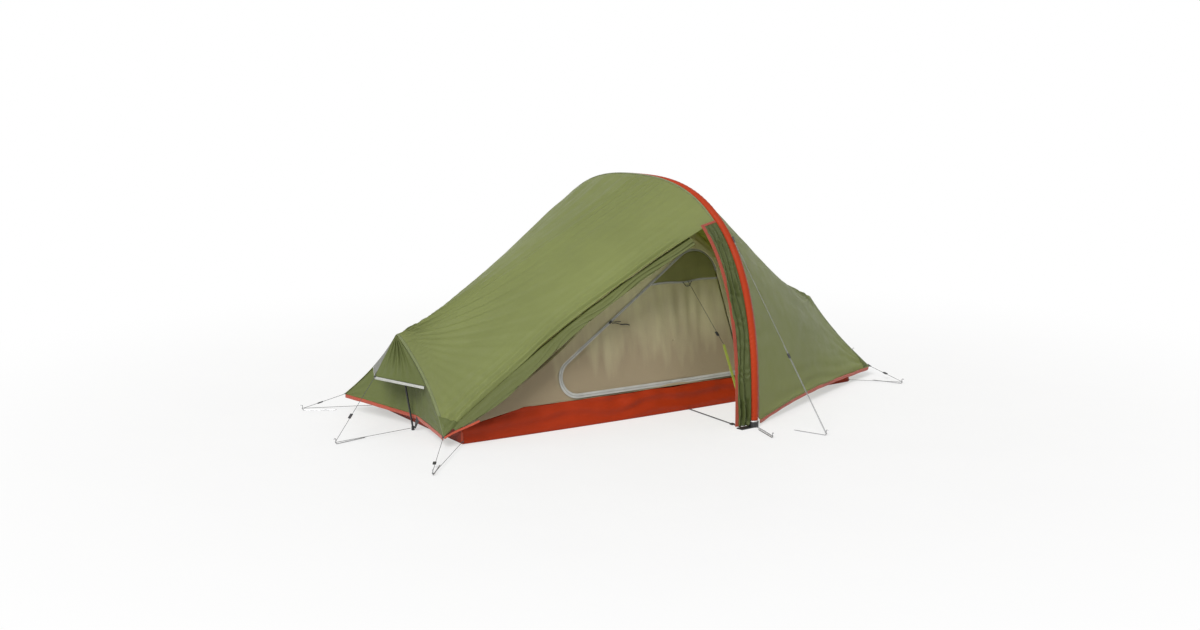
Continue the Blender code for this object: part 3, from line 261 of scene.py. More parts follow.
def evened(path: Array, count: int) -> Array:
    """A path with points at even distances along it.

    Args:
        path: Points of the path.
        count: How many points are wanted.

    Returns:
        The new points.
    """
    length = np.insert(np.cumsum(np.linalg.norm(np.diff(path, axis=0), axis=1)), 0, 0.0)
    places = np.linspace(0.0, length[-1], count)
    return stack(*(np.interp(places, length, path[:, axis]) for axis in range(3)))


def frame_along(path: Array, side: Array) -> tuple[Array, Array]:
    """Two unit directions square to a path.

    Args:
        path: Points of the path.
        side: The direction that the first one keeps close to.

    Returns:
        The direction close to side and the one square to it.
    """
    tangent = unit(np.gradient(path, axis=0))
    side = np.broadcast_to(side, path.shape)
    across = unit(side - (side * tangent).sum(axis=1, keepdims=True) * tangent)
    return across, np.cross(tangent, across)


def tube_panel(path: Array, radius: Values, side: Array, sides: int = 12) -> Panel:
    """Circles along a path, square to it.

    Args:
        path: Middles of the circles.
        radius: Their radius, one for all or one for each.
        side: Direction in which each circle starts.
        sides: How many points a circle has.

    Returns:
        The tube's surface.
    """
    across, normal = frame_along(path, side)
    turn = np.linspace(0.0, TAU, sides, endpoint=False)[None, :, None]
    radius = np.broadcast_to(radius, len(path))[:, None, None]
    circles = path[:, None] + radius * (np.cos(turn) * across[:, None] + np.sin(turn) * normal[:, None])
    return Panel(circles, closed=True)


def band_panel(path: Array, side: Array, width: Values, thickness: float, sides: int = 20) -> Panel:
    """Flat rounded sections along a path: superellipses square to it.

    Args:
        path: Middles of the sections.
        side: Direction of their width.
        width: Their width, one for all or one for each.
        thickness: Their thickness.
        sides: How many points a section has.

    Returns:
        The band's surface.
    """
    across, normal = frame_along(path, side)
    turn = np.linspace(0.0, TAU, sides, endpoint=False)[None, :, None]
    wide = np.sign(np.cos(turn)) * np.abs(np.cos(turn)) ** 0.45
    thick = np.sign(np.sin(turn)) * np.abs(np.sin(turn)) ** 0.6
    width = np.broadcast_to(width, len(path))[:, None, None]
    sections = path[:, None] + width / 2 * wide * across[:, None] + thickness / 2 * thick * normal[:, None]
    return Panel(sections, closed=True)


# Finishes

class NodeBook:
    """The nodes of one material, with short calls for what the finishes share."""

    def __init__(self, name: str, roughness: float, metallic: float = 0.0) -> None:
        """Makes a Principled material.

        Args:
            name: Name of the material.
            roughness: Roughness of the shader.
            metallic: Metallic value of the shader.
        """
        self.material = bpy.data.materials.new(name)
        self.material.use_nodes = True
        self.tree = self.material.node_tree
        self.shader = self.tree.nodes["Principled BSDF"]
        self.shader.inputs["Roughness"].default_value = roughness
        self.shader.inputs["Metallic"].default_value = metallic
        self.places = self.tree.nodes.new("ShaderNodeTexCoord")

    def link(self, source: Socket, target: Socket) -> None:
        """Joins two sockets."""
        self.tree.links.new(source, target)

    def math(self, operation: str, *values: float | Socket) -> Socket:
        """A Math node.

        Args:
            operation: What it works out.
            values: Numbers or sockets that go in.

        Returns:
            Its result.
        """
        node = self.tree.nodes.new("ShaderNodeMath")
        node.operation = operation
        for socket, value in zip(node.inputs, values):
            if isinstance(value, Socket):
                self.link(value, socket)
            else:
                socket.default_value = value
        return node.outputs[0]

    def noise(self, scale: float, detail: float = 3.0, stretch: Point = (1.0, 1.0, 1.0)) -> Socket:
        """A noise texture.

        Args:
            scale: Its scale.
            detail: How many finer layers it has.
            stretch: Factor on the places along each axis.

        Returns:
            The noise, mostly between 0.3 and 0.7.
        """
        mapping = self.tree.nodes.new("ShaderNodeMapping")
        mapping.inputs["Scale"].default_value = stretch
        self.link(self.places.outputs["Object"], mapping.inputs["Vector"])
        node = self.tree.nodes.new("ShaderNodeTexNoise")
        node.inputs["Scale"].default_value = scale
        node.inputs["Detail"].default_value = detail
        self.link(mapping.outputs[0], node.inputs["Vector"])
        return node.outputs["Fac"]

    def coordinates(self, places: str) -> list[Socket]:
        """The three coordinates of a place.

        Args:
            places: The kind of place.

        Returns:
            One socket for each coordinate.
        """
        node = self.tree.nodes.new("ShaderNodeSeparateXYZ")
        self.link(self.places.outputs[places], node.inputs[0])
        return list(node.outputs)

    def cloth_places(self) -> list[Socket]:
        """The two lengths along the cloth, in metres."""
        return self.coordinates("UV")[:2]

    def height_share(self, low: float, high: float) -> Socket:
        """How far a place's height is from low, 0, to high, 1."""
        return self.math("DIVIDE", self.math("SUBTRACT", self.coordinates("Object")[2], low), high - low)

    def lines(self, place: Socket, pitch: float, share: float) -> Socket:
        """1 on lines that repeat every pitch and are a share of it wide, and 0 between them."""
        turn = self.math("FRACT", self.math("DIVIDE", place, pitch))
        return self.math("LESS_THAN", self.math("ABSOLUTE", self.math("SUBTRACT", turn, 0.5)), share / 2)

    def ripple(self, place: Socket, pitch: float) -> Socket:
        """A sine of a place, from -1 to 1, that repeats every pitch."""
        return self.math("SINE", self.math("MULTIPLY", place, TAU / pitch))

    def blend(self, share: Socket, first: Colour | Socket, second: Colour) -> Socket:
        """A colour between two.

        Args:
            share: How much of the second colour it has.
            first: The colour at 0.
            second: The colour at 1.

        Returns:
            The blended colour.
        """
        node = self.tree.nodes.new("ShaderNodeMix")
        node.data_type = "RGBA"
        self.link(share, node.inputs[0])
        for socket, value in ((node.inputs[6], first), (node.inputs[7], second)):
            if isinstance(value, Socket):
                self.link(value, socket)
            else:
                socket.default_value = (*value, 1.0)
        return node.outputs[2]

    def colour(self, source: Socket) -> None:
        """Uses a socket as base colour."""
        self.link(source, self.shader.inputs["Base Color"])

    def relief(self, height: Socket, depth: float, strength: float = 1.0) -> None:
        """Uses a height as bump.

        Args:
            height: The height, from 0 to 1.
            depth: What a height of 1 stands for, in metres.
            strength: How much of the bump is used.
        """
        node = self.tree.nodes.new("ShaderNodeBump")
        node.inputs["Distance"].default_value = depth
        node.inputs["Strength"].default_value = strength
        self.link(height, node.inputs["Height"])
        self.link(node.outputs[0], self.shader.inputs["Normal"])

    def shine_through(self, tone: Colour, share: float) -> None:
        """Lets light pass to the cloth's other side, tinted.

        Args:
            tone: Tint of that light.
            share: How much of the shading it makes up.
        """
        glow = self.tree.nodes.new("ShaderNodeBsdfTranslucent")
        glow.inputs["Color"].default_value = (*tone, 1.0)
        both = self.tree.nodes.new("ShaderNodeMixShader")
        both.inputs[0].default_value = share
        self.link(self.shader.outputs[0], both.inputs[1])
        self.link(glow.outputs[0], both.inputs[2])
        self.link(both.outputs[0], self.tree.nodes["Material Output"].inputs["Surface"])

    def spread(self, source: Socket, low: float = 0.0, high: float = 1.0) -> Socket:
        """A noise spread to a wider range.

        Args:
            source: The noise, mostly between 0.3 and 0.7.
            low: What 0.3 becomes.
            high: What 0.7 becomes.

        Returns:
            The spread noise.
        """
        node = self.tree.nodes.new("ShaderNodeMapRange")
        node.inputs["From Min"].default_value = 0.3
        node.inputs["From Max"].default_value = 0.7
        node.inputs["To Min"].default_value = low
        node.inputs["To Max"].default_value = high
        self.link(source, node.inputs["Value"])
        return node.outputs[0]


def seen_rays(tree: bpy.types.NodeTree) -> Socket:
    """1 for rays of the camera, of reflections and through glass, and 0 for the others.

    Args:
        tree: The nodes that it is added to.

    Returns:
        The value.
    """
    path = tree.nodes.new("ShaderNodeLightPath")
    seen = path.outputs["Is Camera Ray"]
    for kind in ("Is Glossy Ray", "Is Transmission Ray"):
        larger = tree.nodes.new("ShaderNodeMath")
        larger.operation = "MAXIMUM"
        tree.links.new(seen, larger.inputs[0])
        tree.links.new(path.outputs[kind], larger.inputs[1])
        seen = larger.outputs[0]
    return seen


def darker(colour: Colour, share: float) -> Colour:
    """A colour with a share of its light taken away, or added where the share is negative."""
    return tuple(min(value * (1 - share), 1.0) for value in colour)


@dataclass(frozen=True)
class Finish:
    """A finish, whose material is made when a piece first asks for it."""

    name: str

    def material(self) -> bpy.types.Material:
        """The one material of this name."""
        return bpy.data.materials.get(self.name) or self.laid_out().material

    def laid_out(self) -> NodeBook:
        """The nodes of the material, which each kind of finish lays out in its own way."""
        raise NotImplementedError


@dataclass(frozen=True)
class ClothFinish(Finish):
    """Light woven cloth: plain threads, ripstop lines, fine crumples and an uneven dye, with optional painted light."""

    tone: Colour
    roughness: float = 0.42
    gloss: float = 0.16
    sheen: float = 0.15
    thread: float = 0.0009
    ripstop: float = 0.0055
    crumple: float = 0.0016
    patchiness: float = 0.10
    through: Colour = (0.0, 0.0, 0.0)
    let_through: float = 0.0
    # high is painted light: a paler tone that the cloth turns to with height, for sun that glows through the fly. The
    # next field gives the heights.
    high: Colour | None = None
    painted_glow_heights: Pair = (0.0, 1.0)

    def laid_out(self) -> NodeBook:
        """Lays out threads, ripstop lines, dye, wear, crumples and, where high is given, painted light.

        Returns:
            The nodes.
        """
        book = NodeBook(self.name, self.roughness)
        book.shader.inputs["Specular IOR Level"].default_value = self.gloss
        book.shader.inputs["Sheen Weight"].default_value = self.sheen
        book.shader.inputs["Sheen Roughness"].default_value = 0.4
        across, along = book.cloth_places()
        ripstop = book.math("MAXIMUM", book.lines(across, self.ripstop, 0.12), book.lines(along, self.ripstop, 0.12))
        weave = book.math("MULTIPLY", book.ripple(across, self.thread), book.ripple(along, self.thread))
        dye = book.spread(book.noise(2.2, 3.0))
        wear = book.spread(book.noise(28.0, 4.0), 0.0, 0.6)
        base = book.blend(dye, darker(self.tone, -self.patchiness), darker(self.tone, self.patchiness))
        # Painted light: the colour pales towards high with height, with upright streaks, for sun that glows through the
        # fly.
        if self.high is not None:
            streaks = book.spread(book.noise(1.0, 3.0, stretch=(21.0, 21.0, 1.6)), -0.22, 0.22)
            lift = book.math("ADD", book.height_share(*self.painted_glow_heights), streaks)
            base = book.blend(book.math("MINIMUM", book.math("MAXIMUM", lift, 0.0), 1.0), base, self.high)
        base = book.blend(book.math("MULTIPLY", ripstop, 0.25), base, darker(self.tone, 0.25))
        book.colour(book.blend(book.math("MULTIPLY", wear, 0.15), base, darker(self.tone, 0.20)))
        threads = book.math("ADD", book.math("MULTIPLY", weave, 0.05), book.math("MULTIPLY", ripstop, 0.10))
        crumples = book.math("ADD", book.noise(34.0, 5.0), book.math("MULTIPLY", book.noise(9.0, 3.0), 1.5))
        book.relief(book.math("ADD", threads, crumples), self.crumple)
        book.link(book.spread(book.noise(14.0, 3.0), self.roughness - 0.06, self.roughness + 0.10),
                  book.shader.inputs["Roughness"])
        if self.let_through > 0:
            book.shine_through(self.through, self.let_through)
        return book


@dataclass(frozen=True)
class TapeFinish(Finish):
    """Woven tape: cross ribs, and rows of stitches at a distance from both edges."""

    tone: Colour
    stitch_tone: Colour
    half_width: float = 0.006
    rib: float = 0.0011
    roughness: float = 0.62

    def laid_out(self) -> NodeBook:
        """Lays out ribs, stitches and wear.

        Returns:
            The nodes.
        """
        book = NodeBook(self.name, self.roughness)
        book.shader.inputs["Sheen Weight"].default_value = 0.25
        along, across = book.cloth_places()
        ribs = book.math("MULTIPLY", book.math("ADD", book.ripple(along, self.rib), 1.0), 0.5)
        row = book.lines(book.math("ADD", across, self.half_width / 2), self.half_width, 0.12)
        stitch = book.math("MULTIPLY", row, book.lines(along, 0.0034, 0.66))
        worn = book.spread(book.noise(22.0, 4.0))
        base = book.blend(worn, darker(self.tone, -0.10), darker(self.tone, 0.14))
        base = book.blend(book.math("MULTIPLY", ribs, 0.35), base, darker(self.tone, 0.35))
        book.colour(book.blend(stitch, base, self.stitch_tone))
        book.relief(book.math("ADD", book.math("MULTIPLY", ribs, 0.5), stitch), 0.0004)
        return book


@dataclass(frozen=True)
class MeshFinish(Finish):
    """Insect mesh: a fine net of dark threads over the light that comes through it."""

    thread_tone: Colour
    hole_tone: Colour
    pitch: float = 0.0016

    def laid_out(self) -> NodeBook:
        """Lays out threads and the light in the holes.

        Returns:
            The nodes.
        """
        book = NodeBook(self.name, 0.75)
        across, along = book.cloth_places()
        net = book.math("MAXIMUM", book.lines(across, self.pitch, 0.45), book.lines(along, self.pitch, 0.45))
        glow = book.spread(book.noise(6.0, 2.0))
        holes = book.blend(glow, self.hole_tone, darker(self.hole_tone, 0.35))
        book.colour(book.blend(net, holes, self.thread_tone))
        book.relief(net, 0.0003)
        return book


@dataclass(frozen=True)
class MouldedFinish(Finish):
    """Moulded plastic or rubber: a fine grain and slightly uneven gloss."""

    tone: Colour
    roughness: float = 0.38

    def laid_out(self) -> NodeBook:
        """Lays out grain and gloss.

        Returns:
            The nodes.
        """
        book = NodeBook(self.name, self.roughness)
        worn = book.spread(book.noise(160.0, 4.0))
        book.colour(book.blend(worn, self.tone, darker(self.tone, -0.9)))
        book.relief(book.noise(1400.0, 2.0), 0.00015)
        book.link(book.spread(book.noise(220.0, 3.0), self.roughness - 0.08, self.roughness + 0.12),
                  book.shader.inputs["Roughness"])
        return book


@dataclass(frozen=True)
class DrawnFinish(Finish):
    """Drawn wire or pulled fibre: fine streaks along the piece."""

    tone: Colour
    roughness: float
    metallic: float

    def laid_out(self) -> NodeBook:
        """Lays out streaks and scuffs.

        Returns:
            The nodes.
        """
        book = NodeBook(self.name, self.roughness, self.metallic)
        streak = book.noise(90.0, 5.0, stretch=(1.0, 1.0, 14.0))
        scuff = book.spread(book.noise(45.0, 4.0))
        base = book.blend(scuff, darker(self.tone, -0.15), darker(self.tone, 0.25))
        book.colour(book.blend(book.math("MULTIPLY", streak, 0.3), base, darker(self.tone, 0.4)))
        book.relief(streak, 0.0001)
        book.link(book.spread(scuff, self.roughness - 0.05, self.roughness + 0.12), book.shader.inputs["Roughness"])
        return book


@dataclass(frozen=True)
class BraidFinish(Finish):
    """Braided cord: two crossing sets of strands round the cord, with a fleck in one of them."""

    tone: Colour
    fleck: Colour
    girth: float = 0.0063
    pitch: float = 0.0036

    def laid_out(self) -> NodeBook:
        """Lays out strands and flecks.

        Returns:
            The nodes.
        """
        book = NodeBook(self.name, 0.7)
        along, around = book.cloth_places()
        turn = book.math("MULTIPLY", around, TAU * 3 / self.girth)
        run = book.math("MULTIPLY", along, TAU / self.pitch)
        left = book.math("SINE", book.math("ADD", run, turn))
        right = book.math("SINE", book.math("SUBTRACT", run, turn))
        strands = book.math("MULTIPLY", book.math("ADD", book.math("MAXIMUM", left, right), 1.0), 0.5)
        fleck = book.math("MULTIPLY", book.math("GREATER_THAN", left, 0.75), book.lines(along, 0.014, 0.35))
        base = book.blend(strands, darker(self.tone, 0.55), self.tone)
        book.colour(book.blend(fleck, base, self.fleck))
        book.relief(strands, 0.0003)
        return book


@dataclass(frozen=True)
class Palette:
    """Every finish of the tent."""

    fly: Finish = ClothFinish("fly_cloth", (0.238, 0.270, 0.100), roughness=0.42, gloss=0.22, sheen=0.02,
                                   through=(0.74, 0.78, 0.30), let_through=0.32)
    # fly_shade is the fly cloth with painted shade: a darker copy for the end walls, the hood's cloth facets and the
    # corner patches.
    fly_shade: Finish = ClothFinish("fly_cloth_painted_shade", (0.125, 0.148, 0.048), roughness=0.36, sheen=0.03,
                                         through=(0.72, 0.76, 0.30), let_through=0.10)
    # The rolled door's finish is the fly cloth with painted shade: a darker copy that stands in for the shadows in its
    # folds.
    fly_roll_shade: Finish = ClothFinish("fly_cloth_rolled_painted_shade", (0.118, 0.134, 0.044), roughness=0.40, sheen=0.03)
    # The storm flap's finish is the fly cloth with deep painted shade: a much darker copy of it.
    fly_flap_shade: Finish = ClothFinish("fly_cloth_flap_painted_shade", (0.072, 0.088, 0.027), roughness=0.34, sheen=0.03)
    fly_seam: Finish = TapeFinish("fly_seam", (0.150, 0.178, 0.060), (0.260, 0.290, 0.150))
    trim: Finish = ClothFinish("orange_cloth", (0.390, 0.036, 0.006), roughness=0.50, sheen=0.04, crumple=0.0012)
    # The dark orange finish is the orange cloth with painted shade, for the line of shade in the crease beside the
    # sleeve.
    trim_shade: Finish = ClothFinish("orange_cloth_shaded", (0.120, 0.020, 0.006), roughness=0.55, sheen=0.02)
    flange: Finish = TapeFinish("orange_flange", (0.300, 0.034, 0.007), (0.200, 0.022, 0.006))
    trim_tape: Finish = TapeFinish("orange_tape", (0.440, 0.048, 0.009), (0.240, 0.028, 0.008))
    floor: Finish = ClothFinish("groundsheet_cloth", (0.345, 0.029, 0.004), roughness=0.46, sheen=0.04,
                                     crumple=0.0016)
    # The inner cloth's high tone is painted light: from 0.24 m to 0.60 m up it pales to a light cream, for sun that
    # glows through the fly.
    inner: Finish = ClothFinish("inner_cloth", (0.430, 0.352, 0.236), roughness=0.55, sheen=0.1,
                                     thread=0.0007, ripstop=0.0065, crumple=0.0012, patchiness=0.05,
                                     through=(0.86, 0.82, 0.62), let_through=0.30,
                                     high=(0.880, 0.850, 0.540), painted_glow_heights=(0.24, 0.60))
    mesh: Finish = MeshFinish("vent_net", (0.210, 0.215, 0.070), (0.420, 0.425, 0.150))
    hood_mesh: Finish = MeshFinish("hood_net", (0.210, 0.215, 0.190), (0.340, 0.345, 0.310))
    grey_tape: Finish = TapeFinish("grey_tape_weave", (0.500, 0.505, 0.470), (0.360, 0.362, 0.340))
    chain: Finish = TapeFinish("zip_chain", (0.330, 0.332, 0.305), (0.250, 0.252, 0.235), rib=0.0022)
    webbing: Finish = TapeFinish("black_webbing_weave", (0.016, 0.016, 0.017), (0.045, 0.045, 0.048))
    lime: Finish = TapeFinish("lime_webbing_weave", (0.330, 0.400, 0.035), (0.200, 0.250, 0.020))
    plastic: Finish = MouldedFinish("black_moulding", (0.014, 0.014, 0.015))
    film: Finish = MouldedFinish("beam_film", (0.620, 0.620, 0.600), roughness=0.30)
    fibre: Finish = DrawnFinish("strut_rod", (0.018, 0.018, 0.020), 0.30, 0.0)
    alloy: Finish = DrawnFinish("peg_wire", (0.400, 0.400, 0.410), 0.34, 1.0)
    cord: Finish = BraidFinish("grey_braid", (0.250, 0.255, 0.260), (0.520, 0.530, 0.540))
    ground_cord: Finish = BraidFinish("dusk_braid", (0.085, 0.086, 0.088), (0.240, 0.245, 0.250))
    dark_cord: Finish = BraidFinish("black_braid", (0.020, 0.020, 0.022), (0.060, 0.060, 0.065))


PALETTE = Palette()


def piece(name: str, panel: Panel, finish: Finish, replaces: tuple[str, ...] = (),
          body: Body = Body.TENT, cloth: float = 0.0) -> bpy.types.Object:
    """Makes a piece of a panel, dresses it and fixes it to its body.

    Args:
        name: Name of the piece.
        panel: Its outer surface.
        finish: Its finish.
        replaces: The CAD nodes that it stands for.
        body: The body that it rides on.
        cloth: Thickness of its cloth, inwards, or 0 for a tube or a band whose ends are closed.

    Returns:
        The piece.
    """
    made = surface_object(name, panel, capped=not cloth)
    if cloth:
        wall = made.modifiers.new("Thickness", "SOLIDIFY")
        wall.thickness = cloth
        wall.offset = -1.0
    made.data.materials.append(finish.material())
    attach(made, body.value)
    if replaces:
        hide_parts(*replaces)
    LOG.info("%s rides on %s", name, body.value)
    return made


# Shapes of the tent

@dataclass(frozen=True)
class Hoop:
    """The inflated hoop's outline: |2y / span|^power + |z / height|^power = 1."""

    height: float = 1.05
    span: float = 1.576
    power: float = 2.69
    sleeve: float = 0.019
    cloth: float = 0.0018

    def line(self, inset: float, shares: Values) -> tuple[Array, Array]:
        """Y and Z on the outline moved inwards.

        Args:
            inset: Distance from the outline, inwards.
            shares: Places counted along the line, -1 at the near base and 1 at the far base.

        Returns:
            The Y and the Z values.
        """
        angle = np.linspace(-math.pi / 2, math.pi / 2, 4001)
        sine, cosine = np.sin(angle), np.cos(angle)
        y = self.span / 2 * np.sign(sine) * np.abs(sine) ** (2 / self.power)
        z = self.height * np.abs(cosine) ** (2 / self.power)
        step_y, step_z = np.gradient(y), np.gradient(z)
        step = np.hypot(step_y, step_z)
        y, z = y + inset * step_z / step, z - inset * step_y / step
        length = np.concatenate([[0.0], np.cumsum(np.hypot(np.diff(y), np.diff(z)))])
        place = 2 * length / length[-1] - 1
        return np.interp(shares, place, y), np.interp(shares, place, z)

    def share_at(self, height: float) -> float:
        """The share, without its sign, at which the centreline passes a height."""
        shares = np.linspace(-1.0, 0.0, 2001)
        return -float(np.interp(height, self.line(self.sleeve, shares)[1], shares))

    def outward(self, shares: Array) -> Array:
        """Unit vectors away from the tent, square to the centreline."""
        before, after = self.line(self.sleeve, shares - 1e-3), self.line(self.sleeve, shares + 1e-3)
        return unit(stack(0.0, -(after[1] - before[1]), after[0] - before[0]))

    def points(self, inset: float, shares: Array, x: Values = 0.0) -> Array:
        """Points of the outline moved inwards, at an X."""
        return stack(x, *self.line(inset, shares))


HOOP = Hoop()


@dataclass(frozen=True)
class FlyEnd:
    """One end of the flysheet: its canopy, end wall and vent hood."""

    name: str
    sign: float
    peak: Point
    near: Point
    far: Point
    near_height: float
    near_bow: float
    tip: Point
    strut: Pair
    far_height: float = 0.040
    far_bow: float = 0.020
    seam_bow: float = 0.030
    ridge_sag: float = 0.040
    edge_spread: float = 1.5
    seam_gap: float = 0.003
    hood_share: float = 0.52
    wall_top: float = 0.12
    recess: Pair = (0.030, 0.080)
    recess_power: float = 1.2
    hem_height: float = 0.062
    edge: Pair = (90.0, 90.0)
    edge_lift: float = 0.002
    hem_drop: float = 0.0
    hem_drop_reach: float = 0.45

    def seam(self, share: Values, far: bool) -> Array:
        """Points of a curved seam.

        Args:
            share: 0 at the peak and 1 at the corner.
            far: Whether it is the far seam.

        Returns:
            The points.
        """
        share = np.asarray(share, dtype=float)
        points = mix(self.peak, self.far if far else self.near, share)
        points[..., 0] -= self.sign * self.seam_bow * 4 * share * (1 - share)
        return points

    def canopy(self, across: Values, along: Values) -> Array:
        """Points of the canopy: straight lines from the hoop to the two seams.

        The free edges are drawn in towards the ridge and the ridge sags a little. The edge at the hoop lies on
        a circle round the sleeve, at an angle from its top. Beside the hoop's foot the near edge drops to the
        ground.

        Args:
            across: -1 at the near edge, 0 on the ridge and 1 at the far hem.
            along: 0 at the hoop and 1 at the seams.

        Returns:
            The points.
        """
        across, along = np.broadcast_arrays(np.asarray(across, dtype=float), np.asarray(along, dtype=float))
        limit = np.where(across < 0, HOOP.share_at(self.near_height), HOOP.share_at(self.far_height))
        bow = np.where(across < 0, self.near_bow, self.far_bow)
        drawn = across * (1 - bow * 4 * along * (1 - along) * across ** 2)
        turn = np.radians(self.edge[0] + (self.edge[1] - self.edge[0]) * np.clip(-drawn, 0.0, 1.0))
        reach = HOOP.sleeve + HOOP.cloth + self.edge_lift * np.cos(turn)
        hoop_end = HOOP.points(HOOP.sleeve, drawn * limit, self.sign * reach * np.sin(turn))
        hoop_end = hoop_end + HOOP.outward(drawn * limit) * (reach * np.cos(turn))[..., None]
        share = np.abs(drawn) ** self.edge_spread
        seam_end = np.where((across < 0)[..., None], self.seam(share, False), self.seam(share, True))
        points = hoop_end + along[..., None] * (seam_end - hoop_end)
        points[..., 2] -= self.ridge_sag * 6.75 * along ** 2 * (1 - along) * np.cos(across * math.pi / 2) ** 2
        low = rise(-across, 0.86, 1.0) * rise(along, 0.0, 0.03) * np.exp(-along / self.hem_drop_reach)
        points[..., 2] -= self.hem_drop * low
        return points

    def wall(self, across: Values, down: Values) -> Array:
        """Points of the end wall, drawn in behind its strut, least at the top and most at the hem.

        Args:
            across: 0 at the near corner and 1 at the far one.
            down: 0 at the top and 1 at the hem.

        Returns:
            The points.
        """
        across, down = np.broadcast_arrays(np.asarray(across, dtype=float), np.asarray(down, dtype=float))
        share = self.wall_top + (1 - self.wall_top) * down
        near, far = self.seam(share, False), self.seam(share, True)
        near[..., 1] += 2 * self.seam_gap
        far[..., 1] -= 2 * self.seam_gap
        points = near + across[..., None] * (far - near)
        middle = (self.strut[1] - self.near[1]) / (self.far[1] - self.near[1])
        reach = np.where(across < middle, middle, 1 - middle)
        shape = 1 - (np.abs(across - middle) / reach) ** self.recess_power
        recess = self.recess[0] + (self.recess[1] - self.recess[0]) * down ** 2
        points[..., 0] -= self.sign * (self.seam_gap + recess * shape)
        level = self.near[2] + middle * (self.far[2] - self.near[2])
        points[..., 2] += (self.hem_height - level) * shape * down
        return points

    def hood(self, across: Values, down: Values) -> Array:
        """Points of the vent hood.

        Args:
            across: 0 at the near seam, 0.5 on the hood's ridge and 1 at the far seam.
            down: 0 at the peak and 1 at the lip.

        Returns:
            The points.
        """
        across, down = np.broadcast_arrays(np.asarray(across, dtype=float), np.asarray(down, dtype=float))
        near, far = self.seam(down * self.hood_share, False), self.seam(down * self.hood_share, True)
        middle = mix(self.peak, self.tip, down)
        near_half = near + (2 * across)[..., None] * (middle - near)
        far_half = middle + (2 * across - 1)[..., None] * (far - middle)
        points = np.where((across < 0.5)[..., None], near_half, far_half)
        points[..., 0] += self.sign * self.seam_gap
        return points


FOOT = FlyEnd("foot", -1.0, peak=(-1.217, 0.160, 0.413), near=(-1.246, TENT_AXIS_Y - 0.405, 0.045),
              far=(-1.246, TENT_AXIS_Y + 0.405, 0.085), near_height=0.872, near_bow=0.080,
              tip=(-1.318, 0.169, 0.246), strut=(-1.178, 0.105), edge=(34.0, 85.0))
HEAD = FlyEnd("head", 1.0, peak=(1.266, 0.100, 0.342), near=(1.211, TENT_AXIS_Y - 0.541, 0.049),
              far=(1.211, TENT_AXIS_Y + 0.660, 0.049), near_height=0.040, near_bow=0.020,
              tip=(1.352, 0.110, 0.200), strut=(1.196, 0.100), hem_drop=0.026)


